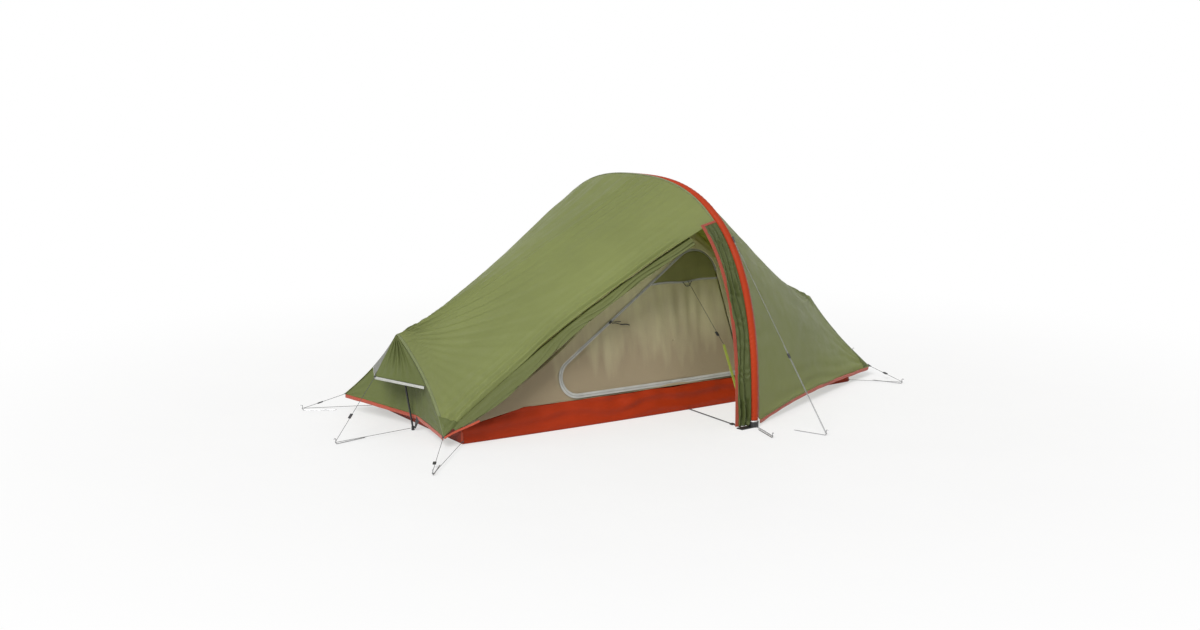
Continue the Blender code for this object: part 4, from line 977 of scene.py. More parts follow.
@dataclass(frozen=True)
class InnerShape:
    """Plan, walls and roof of the inner tent."""

    half: float = 0.524
    taper: float = 0.0755
    curve: float = -0.0265
    lean: float = 0.155
    foot_x: float = -1.150
    head_x: float = 1.015
    tub_height: float = 0.115
    tub_corner: float = 0.065
    tub_slope: float = 0.30
    end_lean: float = 0.045
    peak_x: float = 0.03
    rounding: float = 0.12
    roof: tuple[float, float, float, float] = (0.300, 0.930, 0.260, 0.030)
    shoulders: tuple[float, float, float, float] = (0.085, 0.800, 0.085, 0.080)
    powers: Pair = (1.15, 2.3)
    round_length: float = 0.75
    seam_gap: float = 0.003
    skew: float = 0.090

    def half_width(self, x: Array) -> Array:
        """Half the width at the ground: half + taper x + curve x^2."""
        return self.half + self.taper * x + self.curve * x ** 2

    def side_y(self, x: Array, z: Array, side: float) -> Array:
        """Y of the side wall, which leans in as it rises: -1 is near, 1 is far."""
        return TENT_AXIS_Y + side * (self.half_width(x) - self.lean * z)

    def end_x(self, z: Values, foot: bool) -> Values:
        """X of the end wall, which leans in as it rises."""
        return self.foot_x + self.end_lean * z if foot else self.head_x - self.end_lean * z

    def skewed(self, points: Array) -> Array:
        """Moves the far side of the foot end towards the head.

        Args:
            points: Points of the tub or the roof.

        Returns:
            The moved points.
        """
        near, far = self.side_y(self.foot_x, 0.0, -1.0), self.side_y(self.foot_x, 0.0, 1.0)
        across = np.clip((points[..., 1] - near) / (far - near), 0.0, 1.0)
        to_foot = np.clip(1 - (points[..., 0] - self.foot_x) / self.tub_slope, 0.0, 1.0)
        return points + stack(self.skew * across * to_foot, 0.0, 0.0)

    def tub_top(self, x: Array) -> Array:
        """Height of the tub's side, which drops towards the corners."""
        to_end = np.minimum(x - self.foot_x, self.head_x - x)
        return self.tub_corner + (self.tub_height - self.tub_corner) * np.clip(to_end / self.tub_slope, 0.0, 1.0)

    def ridge(self, x: Array, heights: tuple[float, float, float, float]) -> Array:
        """Height of a sagging line that falls from a rounded peak below the hoop to both ends.

        Args:
            x: Places along the tent.
            heights: Heights at the foot, the peak and the head, and the sag.

        Returns:
            The height at each place.
        """
        foot, peak, head, sag = heights
        foot_run, head_run = self.peak_x - self.end_x(foot, True), self.end_x(head, False) - self.peak_x
        run = np.where(x < self.peak_x, (self.peak_x - x) / foot_run, (x - self.peak_x) / head_run)
        top = math.sqrt(1 + self.rounding ** 2) - self.rounding
        fall = (np.sqrt(run ** 2 + self.rounding ** 2) - self.rounding) / top
        low = np.where(x < self.peak_x, foot, head)
        return peak - (peak - low) * fall - sag * 4 * fall * (1 - fall)

    def wall_point(self, x: Array, z: Array, out: Values = 0.0) -> Array:
        """Points of the near wall.

        Args:
            x: Places along the tent.
            z: Their heights.
            out: How far they stand out of the wall.

        Returns:
            The points.
        """
        slope = math.hypot(1.0, self.lean)
        x, z = np.asarray(x, dtype=float), np.asarray(z, dtype=float)
        return stack(x, self.side_y(x, z, -1) - out / slope, z + out * self.lean / slope)

    def section(self, x: Array, columns: int) -> Array:
        """Sections of the roof at each X: two quarters of a superellipse that meet at the top.

        Args:
            x: Places along the tent.
            columns: How many points each quarter has.

        Returns:
            Rows of points from the near shoulder to the far side of the tub.
        """
        x = np.asarray(x, dtype=float)[:, None]
        near_z, top = self.ridge(x, self.shoulders), self.ridge(x, self.roof)
        far_z = self.tub_top(x) + self.seam_gap
        near_y, far_y = self.side_y(x, near_z, -1), self.side_y(x, far_z, 1)
        round_share = np.maximum(1 - np.abs(x - self.peak_x) / self.round_length, 0.0)
        power = self.powers[0] + (self.powers[1] - self.powers[0]) * round_share
        turn = np.linspace(0.0, math.pi / 2, columns)[None, :]
        low, high = np.abs(np.cos(turn)) ** (2 / power), np.abs(np.sin(turn)) ** (2 / power)
        low = np.where(turn >= math.pi / 2, 0.0, low)
        near = stack(x, TENT_AXIS_Y - (TENT_AXIS_Y - near_y) * low, near_z + (top - near_z) * high)
        far = stack(x, TENT_AXIS_Y + (far_y - TENT_AXIS_Y) * high, far_z + (top - far_z) * low)
        return np.concatenate([near, far[:, 1:]], axis=1)


INNER = InnerShape()


# Flysheet

@dataclass
class Flysheet:
    """Canopies, end walls, vent hoods, bindings, storm flap and rolled door."""

    cloth: float = 0.0008
    rows: int = 180
    columns: int = 120
    peak_folds: Pair = (0.0082, 0.0054)
    corner_folds: float = 0.0050
    hoop_stripes: float = 0.0042
    canopy_slack: float = 0.0022
    edge_folds: Pair = (0.0105, 0.0045)
    wall_folds: tuple[float, float, float] = (0.0035, 0.0040, 0.0020)
    hood_folds: Pair = (0.0090, 0.006)
    flap_folds: Pair = (0.0075, 0.0022)
    seam_width: float = 0.013
    binding_width: float = 0.013
    binding_drop: float = 0.0024
    flap_width: float = 0.068
    flap_outset: float = 0.006
    flap_taper: float = 0.022
    band_wall: float = 0.0005
    seam_out: float = 0.0009
    patch: Pair = (0.13, 0.050)
    patch_out: float = 0.0016
    tape: Pair = (0.012, 0.0024)
    tape_drop: float = 0.0085
    tape_out: float = 0.0012
    binding_thickness: float = 0.0030
    hem_width: float = 0.016
    hem_ripple: float = 0.0008
    flap_binding: float = 0.016
    top_binding: Pair = (0.012, 0.0034)
    door_hem_width: float = 0.010
    roll_span: Pair = (0.09, 0.965)
    roll_widest: float = 0.80
    roll_width: tuple[float, float, float] = (0.042, 0.080, 0.024)
    roll_depth: Pair = (0.026, 0.006)
    roll_folds: int = 4
    roll_fold_depth: float = 0.13
    roll_twist: float = 3.0
    roll_crease: float = 0.34
    roll_up: float = 0.010
    roll_in: float = 0.003

    def canopy_folds(self, end: FlyEnd, points: Array, across: Array, along: Array) -> Array:
        """Height of a canopy's folds.

        Fans spread from the peak and both corners, long shallow stripes run down from the hoop, and two
        soft folds follow the near edge.

        Args:
            end: The end whose canopy it is.
            points: Places on the smooth canopy.
            across: Share across the canopy of each place.
            along: Share along the canopy of each place.

        Returns:
            How far each place stands out.
        """
        spread = (points[..., 1] - end.peak[1]) / (np.abs(points[..., 0] - end.peak[0]) + 0.03)
        beside = 0.30 + 0.70 * np.exp(-(spread / 0.55) ** 2)
        height = self.peak_folds[0] * beside * fan(points, end.peak, (0, 1), folds=58.0, reach=0.42, seed=3)
        height += self.peak_folds[1] * beside * fan(points, end.peak, (0, 1), folds=127.0, reach=0.32, seed=4)
        height += self.corner_folds * fan(points, end.near, (0, 2), folds=22.0, reach=0.16, seed=5)
        height += self.corner_folds * fan(points, end.far, (0, 2), folds=22.0, reach=0.16, seed=7)
        from_hoop = np.abs(points[..., 0])
        stripes = np.sin(across * 62.0 + 1.8 * waves(stack(across * 3, along * 2), 1.3, 11))
        stripes += np.sin(across * 117.0 + 2.4 * waves(stack(across * 3, along * 2), 1.1, 12))
        calm = 0.22 + 0.78 * np.exp(-(across / 0.42) ** 2)
        height += self.hoop_stripes * calm * stripes * np.exp(-from_hoop / 0.34) * rise(from_hoop, 0.0, 0.06)
        slow = waves(stack(across * 4.5, along * 1.4), 1.0, 13)
        height += self.canopy_slack * slow * np.sin(along * math.pi)
        edge = 1 + across
        drift = 1.3 * waves(stack(along * 3.0, edge * 2.0), 1.0, 14)
        deep = self.edge_folds[0] if end is FOOT else self.edge_folds[1]
        height += deep * np.sin(edge * 96.0 + along * 5.0 + drift) * np.exp(-edge / 0.085) * rise(along, 0.02, 0.2)
        pinned = rise(along, 0.0, 0.03) * rise(1 - along, 0.0, 0.03)
        return height * pinned

    def build_canopy(self, end: FlyEnd) -> None:
        """A canopy with its folds and the stitched bands along its two seams.

        Args:
            end: The end that is made.
        """
        across = np.linspace(-1.0, 1.0, self.rows + 1)[:, None]
        along = np.linspace(0.0, 1.0, self.columns + 1)[None, :]
        smooth = Panel(end.canopy(across, along))
        grid_across, grid_along = np.broadcast_arrays(across, along)
        folded = smooth.raised(self.canopy_folds(end, smooth.points, grid_across, grid_along))
        made = piece(f"{end.name}_canopy", folded, PALETTE.fly, (f"fly_{end.name}_canopy",),
                     cloth=self.cloth)

        lines = end.canopy(across, np.array([[0.0, 1.0]]))
        length = np.linalg.norm(lines[:, 1] - lines[:, 0], axis=1)[:, None]
        band = 1 - np.linspace(self.seam_width, 0.0, 5)[None, :] / length
        seam = Panel(end.canopy(across, band)).raised(self.seam_out)
        piece(f"{end.name}_canopy_seam", seam, PALETTE.fly_seam, cloth=self.band_wall)

    def build_patches(self, end: FlyEnd) -> None:
        """The triangular patches sewn on to a canopy's two corners.

        Args:
            end: The end that is made.
        """
        wide = np.linspace(0.0, 1.0, 31)[:, None]
        long = np.linspace(0.0, 1.0, 31)[None, :]
        for part, side in (("near", -1.0), ("far", 1.0)):
            across = side * (1 - self.patch[0] * wide * (1 - 0.96 * long))
            along = 1 - 0.002 - self.patch[1] * long * np.ones_like(across)
            patch = Panel(end.canopy(across, along))
            height = self.canopy_folds(end, patch.points, across, along) + self.patch_out
            # The patches take the fly cloth's darker copy, so their darker colour is painted shade.
            piece(f"{end.name}_{part}_patch", patch.raised(height), PALETTE.fly_shade, cloth=self.band_wall)

    def build_wall(self, end: FlyEnd) -> None:
        """An end wall with folds from its corners and its peak, and a little slack.

        Args:
            end: The end that is made.
        """
        across = np.linspace(0.0, 1.0, 101)[:, None]
        down = np.linspace(0.0, 1.0, 61)[None, :]
        smooth = Panel(end.wall(across, down))
        from_peak, from_corner, slack = self.wall_folds
        height = from_peak * fan(smooth.points, end.peak, (1, 2), folds=30.0, reach=0.20, seed=17)
        height += from_corner * fan(smooth.points, end.near, (1, 2), folds=20.0, reach=0.14, seed=19)
        height += from_corner * fan(smooth.points, end.far, (1, 2), folds=20.0, reach=0.14, seed=23)
        height += slack * waves(smooth.points[..., 1:], 0.16, 29)
        pinned = rise(across, 0.0, 0.05) * rise(1 - across, 0.0, 0.05) * rise(1 - down, 0.0, 0.04)
        # The end wall takes the fly cloth's darker copy: its darker colour is painted shade.
        made = piece(f"{end.name}_wall", smooth.raised(height * pinned), PALETTE.fly_shade,
                     (f"fly_{end.name}_end_wall",), cloth=self.cloth)

    def build_hood(self, end: FlyEnd) -> None:
        """A vent hood: a cloth facet and a mesh facet that meet on its ridge, and the stiff tape in its lip.

        Args:
            end: The end that is made.
        """
        down = np.linspace(0.015, 1.0, 71)[None, :]
        deep, hollow = self.hood_folds
        # The hood's cloth facet takes the fly cloth's darker copy: its darker colour is painted shade.
        for part, low, high, finish in (("cloth", 0.0, 0.5, PALETTE.fly_shade), ("net", 0.5, 1.0, PALETTE.hood_mesh)):
            across = np.linspace(low, high - 1e-6 if high < 1 else high, 61)[:, None]
            smooth = Panel(end.hood(across, down))
            slack = np.sin((across - low) / (high - low) * math.pi) * np.sin(np.clip(down, 0.0, 1.0) * math.pi) ** 0.7
            height = deep * fan(smooth.points, end.peak, (1, 2), folds=40.0, reach=0.20, seed=31) - hollow
            made = piece(f"{end.name}_hood_{part}", smooth.raised(height * slack), finish,
                         (f"{end.name}_vent_hood",), cloth=self.cloth)
        lip = end.hood(np.linspace(0.015, 0.985, 81), 1.0)
        lip[:, 2] -= self.tape_drop
        lip[:, 0] += end.sign * self.tape_out
        piece(f"{end.name}_hood_tape", band_panel(lip, UP, *self.tape), PALETTE.grey_tape,
              (f"{end.name}_hood_stay",))

    def build_bindings(self) -> None:
        """Folded orange tape along the hems of both ends."""
        along = np.linspace(0.0, 1.0, 121)
        across = np.linspace(0.0, 1.0, 101)
        foot = np.concatenate([FOOT.canopy(1.0, along)[6:-2], FOOT.wall(across[::-1], 1.0)])
        head = np.concatenate([HEAD.canopy(-1.0, along)[3:-2], HEAD.wall(across, 1.0),
                               HEAD.canopy(1.0, along[::-1])[2:-6]])
        for name, hem in (("foot_hem", foot), ("head_hem", head)):
            hem = evened(hem, 260) - np.array([0.0, 0.0, self.binding_drop + self.binding_width / 2 - 0.002])
            hem[:, 2] += self.hem_ripple * waves(hem, 0.09, 37)
            band = band_panel(hem, UP, self.hem_width, self.binding_thickness)
            piece(name, band, PALETTE.trim_tape, (name + "_binding",))

    def flap_points(self, shares: Array, across: Array) -> Array:
        """Points of the storm flap.

        Args:
            shares: Places along the hoop.
            across: 0 at the sleeve and 1 at the free edge.

        Returns:
            The points.
        """
        shares, across = np.broadcast_arrays(shares, across)
        x = -(HOOP.sleeve + HOOP.cloth) - self.flap_width * across
        near = stack(x, *HOOP.line(HOOP.sleeve - self.flap_outset, shares))
        far = stack(x, *HOOP.line(HOOP.sleeve - self.flap_outset + self.flap_taper, shares))
        return near + across[..., None] * (far - near)

    def build_flap(self) -> None:
        """The storm flap with long folds along it, and the orange binding round its top and free edge."""
        limits = HOOP.share_at(FOOT.near_height), HOOP.share_at(0.030), HOOP.share_at(0.010)
        across = np.linspace(0.0, 1.0, 41)[None, :]
        low = limits[1] + (limits[2] - limits[1]) * rise(across, 0.05, 0.20)
        shares = -(limits[0] + (low - limits[0]) * np.linspace(0.0, 1.0, 221)[:, None])
        smooth = Panel(self.flap_points(shares, across))
        run = np.broadcast_to(np.linspace(0.0, 1.0, 221)[:, None], smooth.points.shape[:2])
        drift = 1.4 * waves(stack(run * 3, np.broadcast_to(across, run.shape) * 0.7), 1.0, 41)
        folds = np.sin(across * 17.0 + drift) * (0.5 + 0.5 * waves(stack(run * 5, run * 0), 1.0, 43) ** 2)
        cross = np.sin(run * 95.0 + across * 9.0 + 2.5 * waves(stack(run * 7, across + run * 0), 1.0, 44))
        height = self.flap_folds[0] * folds + self.flap_folds[1] * cross
        height = height * rise(across, 0.0, 0.15) * rise(1 - across, 0.0, 0.10)
        height = height * rise(run, 0.0, 0.05)
        # The flap's very dark finish is painted shade.
        made = piece("storm_flap_cloth", smooth.raised(height), PALETTE.fly_flap_shade, ("storm_flap",),
                     cloth=self.cloth)

        shares = shares[:, -1]
        edge = self.flap_points(shares, 0.955)
        side = self.flap_points(shares, 1.0) - self.flap_points(shares, 0.8)
        band = band_panel(edge, side, self.flap_binding, self.binding_thickness)
        piece("storm_flap_binding", band, PALETTE.flange)
        across = np.linspace(0.02, 0.99, 41)
        top = self.flap_points(np.full(41, shares[0] - 0.003), across)
        side = (self.flap_points(np.full(41, shares[0]), across)
                - self.flap_points(np.full(41, shares[0] - 0.01), across))
        piece("storm_flap_top_binding", band_panel(top, side, *self.top_binding), PALETTE.flange)

    def build_door(self) -> None:
        """The door rolled up under its edge: flattened turns with long folds that run out near the corner."""
        count, sides = 181, 96
        along = np.linspace(*self.roll_span, count)
        edge = FOOT.canopy(-1.0, along)
        tangent = unit(np.gradient(edge, axis=0))
        down = edge - FOOT.canopy(-0.95, along)
        down = unit(down - (down * tangent).sum(axis=1, keepdims=True) * tangent)
        inward = np.cross(down, tangent)
        share = np.linspace(0.0, 1.0, count)
        top, widest, end = self.roll_width
        width = (top + (widest - top) * np.clip(share / self.roll_widest, 0.0, 1.0) ** 2
                 + (end - widest) * np.clip((share - self.roll_widest) / (1 - self.roll_widest), 0.0, 1.0) ** 2)
        depth = self.roll_depth[0] + (self.roll_depth[1] - self.roll_depth[0]) * share
        turn = np.linspace(0.0, TAU, sides, endpoint=False)[None, :]
        lobes = 1 + self.roll_fold_depth * np.cos(self.roll_folds * turn + self.roll_twist * share[:, None])
        drift = 1.6 * waves(stack(share * 4, share * 0), 1.0, 47)[:, None]
        lobes -= self.roll_crease * np.abs(np.sin(6.5 * turn / 2 + drift + 1.2 * share[:, None])) ** 4
        reach = (1 + self.roll_fold_depth) / 2
        centre = edge + down * (width * reach - self.roll_up)[:, None]
        centre = centre + inward * (depth * reach + self.roll_in)[:, None]
        rings = (centre[:, None]
                 + down[:, None] * (width[:, None] / 2 * np.cos(turn) * lobes)[..., None]
                 + inward[:, None] * (depth[:, None] / 2 * np.sin(turn) * lobes)[..., None])
        # The roll's darker finish is painted shade, for the shadows in its folds.
        piece("rolled_door", Panel(rings, closed=True), PALETTE.fly_roll_shade, ("fly_door",))

    def build_door_hem(self) -> None:
        """The orange binding of the door's lower hem, which shows from the near corner under the roll."""
        along = np.linspace(0.9995, 0.885, 50)
        edge = FOOT.canopy(-1.0, along)
        down = edge - FOOT.canopy(-0.95, along)
        place = np.linspace(0.0, 1.0, 50)
        hem = edge + unit(down) * (0.004 + self.roll_width[1] * 0.92 * rise(place, 0.0, 1.15))[:, None]
        hem = mix(hem, mix(hem[0], hem[-1], place), 0.6)
        hem[:, 1] -= 0.004
        band = band_panel(hem, unit(down), self.door_hem_width, self.binding_thickness)
        piece("door_hem", band, PALETTE.trim_tape)

    def build(self) -> None:
        """Makes every piece of the flysheet."""
        for end in (FOOT, HEAD):
            self.build_canopy(end)
            self.build_patches(end)
            self.build_wall(end)
            self.build_hood(end)
        self.build_bindings()
        self.build_flap()
        self.build_door()
        self.build_door_hem()


# Hoop

@dataclass
class HoopParts:
    """The sleeve over the beam and the flange that joins it to the head canopy."""

    base_height: float = 0.030
    steps: int = 520
    sides: int = 56
    cloth: float = 0.0006
    shrink: float = 0.020
    crease: float = 0.068
    crease_length: float = 0.024
    flange_width: float = 0.017
    flange_wall: float = 0.0008
    flange_out: float = 0.0012
    flange_ripple: float = 0.0007
    # The next two fields size the dark tube of painted shade in the crease beside the sleeve.
    crease_shade_radius: float = 0.0014
    crease_shade_out: float = 0.0012

    def build_sleeve(self) -> None:
        """The sleeve: circles along the hoop, puckered by short slanting creases at both seams."""
        limit = HOOP.share_at(self.base_height)
        shares = np.linspace(-limit, limit, self.steps)
        centre = HOOP.points(HOOP.sleeve, shares)
        out = HOOP.outward(shares)
        turn = np.linspace(0.0, TAU, self.sides, endpoint=False)[None, :]
        ring = np.arange(self.steps)[:, None] / self.steps * 2.9
        slant = np.abs((turn + math.pi) % TAU - math.pi)
        drift = 1.5 * waves(stack(ring * 6, ring * 0)[:, 0], 1.0, 53)[:, None]
        crease = np.sin(ring / self.crease_length * TAU + 1.6 * slant + drift)
        strength = np.minimum(0.35 + 0.65 * np.abs(waves(stack(ring * 2.4, ring * 0)[:, 0], 1.0, 59)), 1.0)[:, None]
        radius = HOOP.sleeve * (1.0 - self.shrink + self.crease * crease * strength * np.abs(np.sin(turn)) ** 1.2)
        points = (centre[:, None] + (radius * np.cos(turn))[..., None] * out[:, None]
                  + (radius * np.sin(turn))[..., None] * ALONG)
        panel = Panel(points, closed=True)
        made = piece("beam_sleeve", panel, PALETTE.trim, ("hoop_sleeve",), cloth=self.cloth)

    def build_flange(self) -> None:
        """The strips that join the sleeve to both canopies: orange at the head, a felled green seam at the foot."""
        for end, width, finish, slot in ((HEAD, self.flange_width, PALETTE.flange, Slot.ORANGE),
                                         (FOOT, self.flange_width / 2, PALETTE.fly_seam, Slot.FLY)):
            across = np.linspace(-1.0, 1.0, 360)[:, None]
            lines = end.canopy(across, np.array([[0.0, 1.0]]))
            length = np.linalg.norm(lines[:, 1] - lines[:, 0], axis=1)[:, None]
            band = np.linspace(0.0, width, 7)[None, :] / length
            strip = Panel(end.canopy(across, band))
            ripple = self.flange_ripple * waves(strip.points, 0.03, 61)
            height = self.flange_out + ripple * np.linspace(0.0, 1.0, 7)[None, :]
            piece(f"{end.name}_sleeve_flange", strip.raised(height), finish, cloth=self.flange_wall)

    def build_crease_shade(self) -> None:
        """A dark tube of painted shade in the crease between the sleeve and the head canopy."""
        seam = evened(HEAD.canopy(np.linspace(-0.985, 0.985, 240), 0.0), 420)
        out = unit(seam - np.array([0.0, 0.0, 0.3]))
        path = seam + self.crease_shade_out * out + self.crease_shade_out * ALONG
        piece("sleeve_crease_painted_shade", tube_panel(path, self.crease_shade_radius, ALONG), PALETTE.trim_shade)

    def build(self) -> None:
        """Makes the sleeve, its flanges and the dark tube of painted shade beside it."""
        self.build_sleeve()
        self.build_flange()
        self.build_crease_shade()


# Inner tent

def polar_radius(outline: Array, centre: Array, angles: Array) -> Array:
    """Distance from a centre to a closed outline, where a ray crosses one of its sides.

    Args:
        outline: Points of the outline.
        centre: Where the rays start.
        angles: Directions of the rays.

    Returns:
        The distance at each angle.
    """
    start, end = outline - centre, np.roll(outline, -1, axis=0) - centre
    ray = stack(np.cos(angles), np.sin(angles))[:, None]
    side = end - start
    below = ray[..., 0] * side[:, 1] - ray[..., 1] * side[:, 0]
    below = np.where(np.abs(below) < 1e-12, 1e-12, below)
    reach = (start[:, 0] * side[:, 1] - start[:, 1] * side[:, 0]) / below
    place = (start[:, 0] * ray[..., 1] - start[:, 1] * ray[..., 0]) / below
    hit = (reach > 0) & (place > -1e-9) & (place < 1 + 1e-9)
    return np.where(hit, reach, 0.0).max(axis=1)


def moved_in(outline: Array, inset: float) -> Array:
    """A closed outline moved inwards along its own normals."""
    step = unit(np.roll(outline, -1, axis=0) - np.roll(outline, 1, axis=0))
    return outline + inset * stack(-step[:, 1], step[:, 0])


def rounded(corners: list[Pair], radii: list[float], count: int) -> list[Array]:
    """Arcs that round the corners of a polygon.

    Args:
        corners: The polygon's corners.
        radii: Radius at each corner.
        count: How many points an arc has.

    Returns:
        The points of each arc.
    """
    arcs = []
    for place, radius in enumerate(radii):
        corner = np.array(corners[place])
        before = unit(np.array(corners[place - 1]) - corner)
        after = unit(np.array(corners[(place + 1) % len(corners)]) - corner)
        half = math.acos(float(before @ after)) / 2
        centre = corner + unit(before + after) * radius / math.sin(half)
        first = corner + before * radius / math.tan(half) - centre
        last = corner + after * radius / math.tan(half) - centre
        sweep = math.pi - 2 * half
        share = np.linspace(0.0, 1.0, count)[:, None]
        arcs.append(centre + (np.sin((1 - share) * sweep) * first + np.sin(share * sweep) * last) / math.sin(sweep))
    return arcs


def cut_at(outline: Array, height: float, above: bool) -> Array:
    """The part of a closed outline above or below a height, with the two crossings added.

    Args:
        outline: Points of the outline.
        height: Where it is cut.
        above: Whether the part above is kept.

    Returns:
        The outline of that part.
    """
    after = np.roll(outline, -1, axis=0)
    sign = 1.0 if above else -1.0
    share = (height - outline[:, 1]) / np.where(after[:, 1] == outline[:, 1], 1e-12, after[:, 1] - outline[:, 1])
    crossing = outline + share[:, None] * (after - outline)
    crossed = (outline[:, 1] - height) * (after[:, 1] - height) < 0
    kept = sign * (outline[:, 1] - height) >= 0
    both = np.stack([outline, crossing], axis=1).reshape(-1, 2)
    return both[np.stack([kept, crossed], axis=1).ravel()]


@dataclass
class InnerTent:
    """Tub, roof, near wall with its door, mesh vent and zip."""

    cloth: float = 0.0007
    floor_height: float = 0.0006
    tub_folds: Pair = (0.0030, 0.0022)
    tub_corner_folds: float = 0.004
    tub_level_folds: float = 0.0046
    tub_edge_folds: float = 0.0022
    roof_slack: float = 0.0022
    wall_slack: Pair = (0.0018, 0.0050)
    door_foot: float = -0.86
    door_head: float = 0.33
    door_top: Pair = (0.19, 0.79)
    sill_rise: float = 0.018
    radii: tuple[float, float, float] = (0.080, 0.040, 0.130)
    gap: float = 0.005
    vent_height: float = 0.575
    foot_seam: float = 0.13
    wall_middle: Pair = (-0.02, 0.36)
    leaf_middle: Pair = (-0.05, 0.32)
    net_middle: Pair = (0.13, 0.64)
    zip_width: float = 0.021
    zip_out: float = 0.0031
    slider_x: float = -0.385
    pull: float = 0.088
    corner_tape: Pair = (0.010, 0.0016)
    sill_tape: Pair = (0.009, 0.0014)
    corner_out: float = 0.0016
    sill_out: float = 0.0022
    sill_sag: float = 0.004
    tie: tuple[Pair, ...] = ((0.030, 0.571), (0.046, 0.552), (0.064, 0.552), (0.080, 0.571))
    tie_radius: float = 0.0016
    tie_out: float = 0.0045
    zip_thickness: float = 0.0013
    chain: Pair = (0.0026, 0.0018)
    chain_out: float = 0.0008
    arcs: list[Array] = field(default_factory=list)

    def __post_init__(self) -> None:
        """Works out the door's rounded corners: foot, head and top."""
        sill = INNER.tub_height + self.sill_rise
        corners = [(self.door_foot, sill), (self.door_head, sill), self.door_top]
        self.arcs = rounded(corners, list(self.radii), 25)

    def build_tub(self) -> None:
        """The tub: a floor and its upturned edge, worked out as rings from the middle of the floor outwards."""
        near_x = np.linspace(INNER.foot_x, INNER.head_x, 261)
        foot_y = np.linspace(-1.0, 1.0, 61)[1:-1]
        loop_x = np.concatenate([near_x, np.full(59, INNER.head_x), near_x[::-1], np.full(59, INNER.foot_x)])
        loop_side = np.concatenate([np.full(261, -1.0), foot_y, np.full(261, 1.0), foot_y[::-1]])
        top = INNER.tub_top(np.clip(loop_x, INNER.foot_x, INNER.head_x))

        def ring(height: Array) -> Array:
            """A loop round the tub at a height."""
            x = np.clip(loop_x, INNER.end_x(height, True), INNER.end_x(height, False))
            return INNER.skewed(stack(x, INNER.side_y(x, height, loop_side), height))

        base = ring(np.zeros_like(top) + self.floor_height)
        centre = np.array([(INNER.foot_x + INNER.head_x) / 2, TENT_AXIS_Y, self.floor_height])
        shares = np.linspace(0.002, 0.99, 24)
        rows = [centre + (base - centre) * share for share in shares]
        rows += [ring(self.floor_height + (top - self.floor_height) * share) for share in np.linspace(0.0, 1.0, 22)]
        smooth = np.stack(rows)
        run = np.insert(np.cumsum(np.linalg.norm(np.diff(base, axis=0), axis=1)), 0, 0.0)
        lift = np.clip(smooth[..., 2] / INNER.tub_height, 0.0, 1.0)
        slow, quick = self.tub_folds
        folds = waves(stack(run * 9, run * 0), 1.0, 67)[None, :] * slow + quick * np.sin(run * 46)[None, :]
        corner = np.exp(-np.minimum(np.abs(base[:, 0] - INNER.foot_x), np.abs(base[:, 0] - INNER.head_x)) / 0.10)
        folds = folds + (self.tub_corner_folds * np.sin(run * 130) * corner)[None, :]
        out = unit(stack(base[:, 0] * 0, base[:, 1] - TENT_AXIS_Y, base[:, 0] * 0))
        drift = waves(stack(run * 2.4, run * 0), 1.0, 70)[None, :]
        level = self.tub_level_folds * np.sin(lift * 11.0 + 2.2 * drift) * rise(lift, 0.0, 0.2)
        level = level * rise(1 - lift, 0.0, 0.2)
        points = smooth + out[None] * (folds * lift * rise(lift, 0.0, 0.6) + level)[..., None]
        points[..., 2] += (self.tub_edge_folds * waves(stack(run * 5, run * 0), 1.0, 71)[None, :]) * lift ** 3
        tub = Panel(points, stack(points[..., 0], points[..., 1] + points[..., 2]), closed=True)
        made = piece("groundsheet_tub", tub, PALETTE.floor, ("groundsheet",), cloth=self.cloth)
        size = (2 * float(INNER.half_width(near_x).max() + INNER.tub_height),
                INNER.head_x - INNER.foot_x + 2 * INNER.tub_corner)

    def build_corners(self) -> None:
        """The taped seams up the groundsheet's four corners."""
        for foot in (True, False):
            for side, part in ((-1.0, "near"), (1.0, "far")):
                x_low = np.array([INNER.foot_x if foot else INNER.head_x])
                height = np.linspace(0.003, float(INNER.tub_top(x_low)[0]) - 0.002, 30)
                x = INNER.end_x(height, foot)
                lean = stack(x, INNER.side_y(x, height, side), height)
                out = self.corner_out * np.array([-1.0 if foot else 1.0, side, 0.0])
                seam = band_panel(INNER.skewed(lean) + out, ALONG, *self.corner_tape)
                piece(f"tub_{'foot' if foot else 'head'}_{part}_seam", seam, PALETTE.trim_tape)

    def build_roof(self) -> None:
        """The roof, far side and both ends of the inner tent as one cloth."""
        x = np.concatenate([[INNER.end_x(INNER.roof[0], True)],
                            np.linspace(INNER.foot_x + 0.02, INNER.head_x - 0.02, 121)[1:-1],
                            [INNER.end_x(INNER.roof[2], False)]])
        grid = INNER.section(x, 41)
        share = np.linspace(0.0, 1.0, grid.shape[1])
        rows = [grid]
        for place, foot in ((0, True), (-1, False)):
            arch = grid[place]
            arch[:, 0] = INNER.end_x(arch[:, 2], foot)
            hem = arch[-1, 2]
            near_y = INNER.side_y(arch[0, 0], hem, -1)
            edge = stack(INNER.end_x(hem, foot), near_y + (arch[-1, 1] - near_y) * share, hem)
            fill = np.stack([mix(edge, arch, down) for down in np.linspace(0.0, 1.0, 16)[:-1]])
            rows = [fill] + rows if foot else rows + [fill[::-1]]
        smooth = Panel(INNER.skewed(np.concatenate(rows)))
        height = self.roof_slack * waves(smooth.points, 0.22, 73) - self.roof_slack
        made = piece("inner_roof", smooth.raised(height), PALETTE.inner, ("inner_canopy",),
                     cloth=self.cloth)

    def wall_folds(self, x: Array, z: Array) -> Array:
        """Height of the near wall's folds: soft upright folds below the vent and slow slack.

        Args:
            x: Places along the tent.
            z: Heights on the wall.

        Returns:
            How far each place stands out.
        """
        upright = np.sin(x * 78.0 + 1.5 * waves(stack(x * 3, z * 1.5), 1.0, 79))
        below = np.exp(-((z - 0.50) / 0.13) ** 2) * np.exp(-((x - 0.03) / 0.22) ** 2)
        slack = waves(stack(x * 2.2, z * 2.8), 1.0, 83)
        return self.wall_slack[0] * upright * below + self.wall_slack[1] * slack

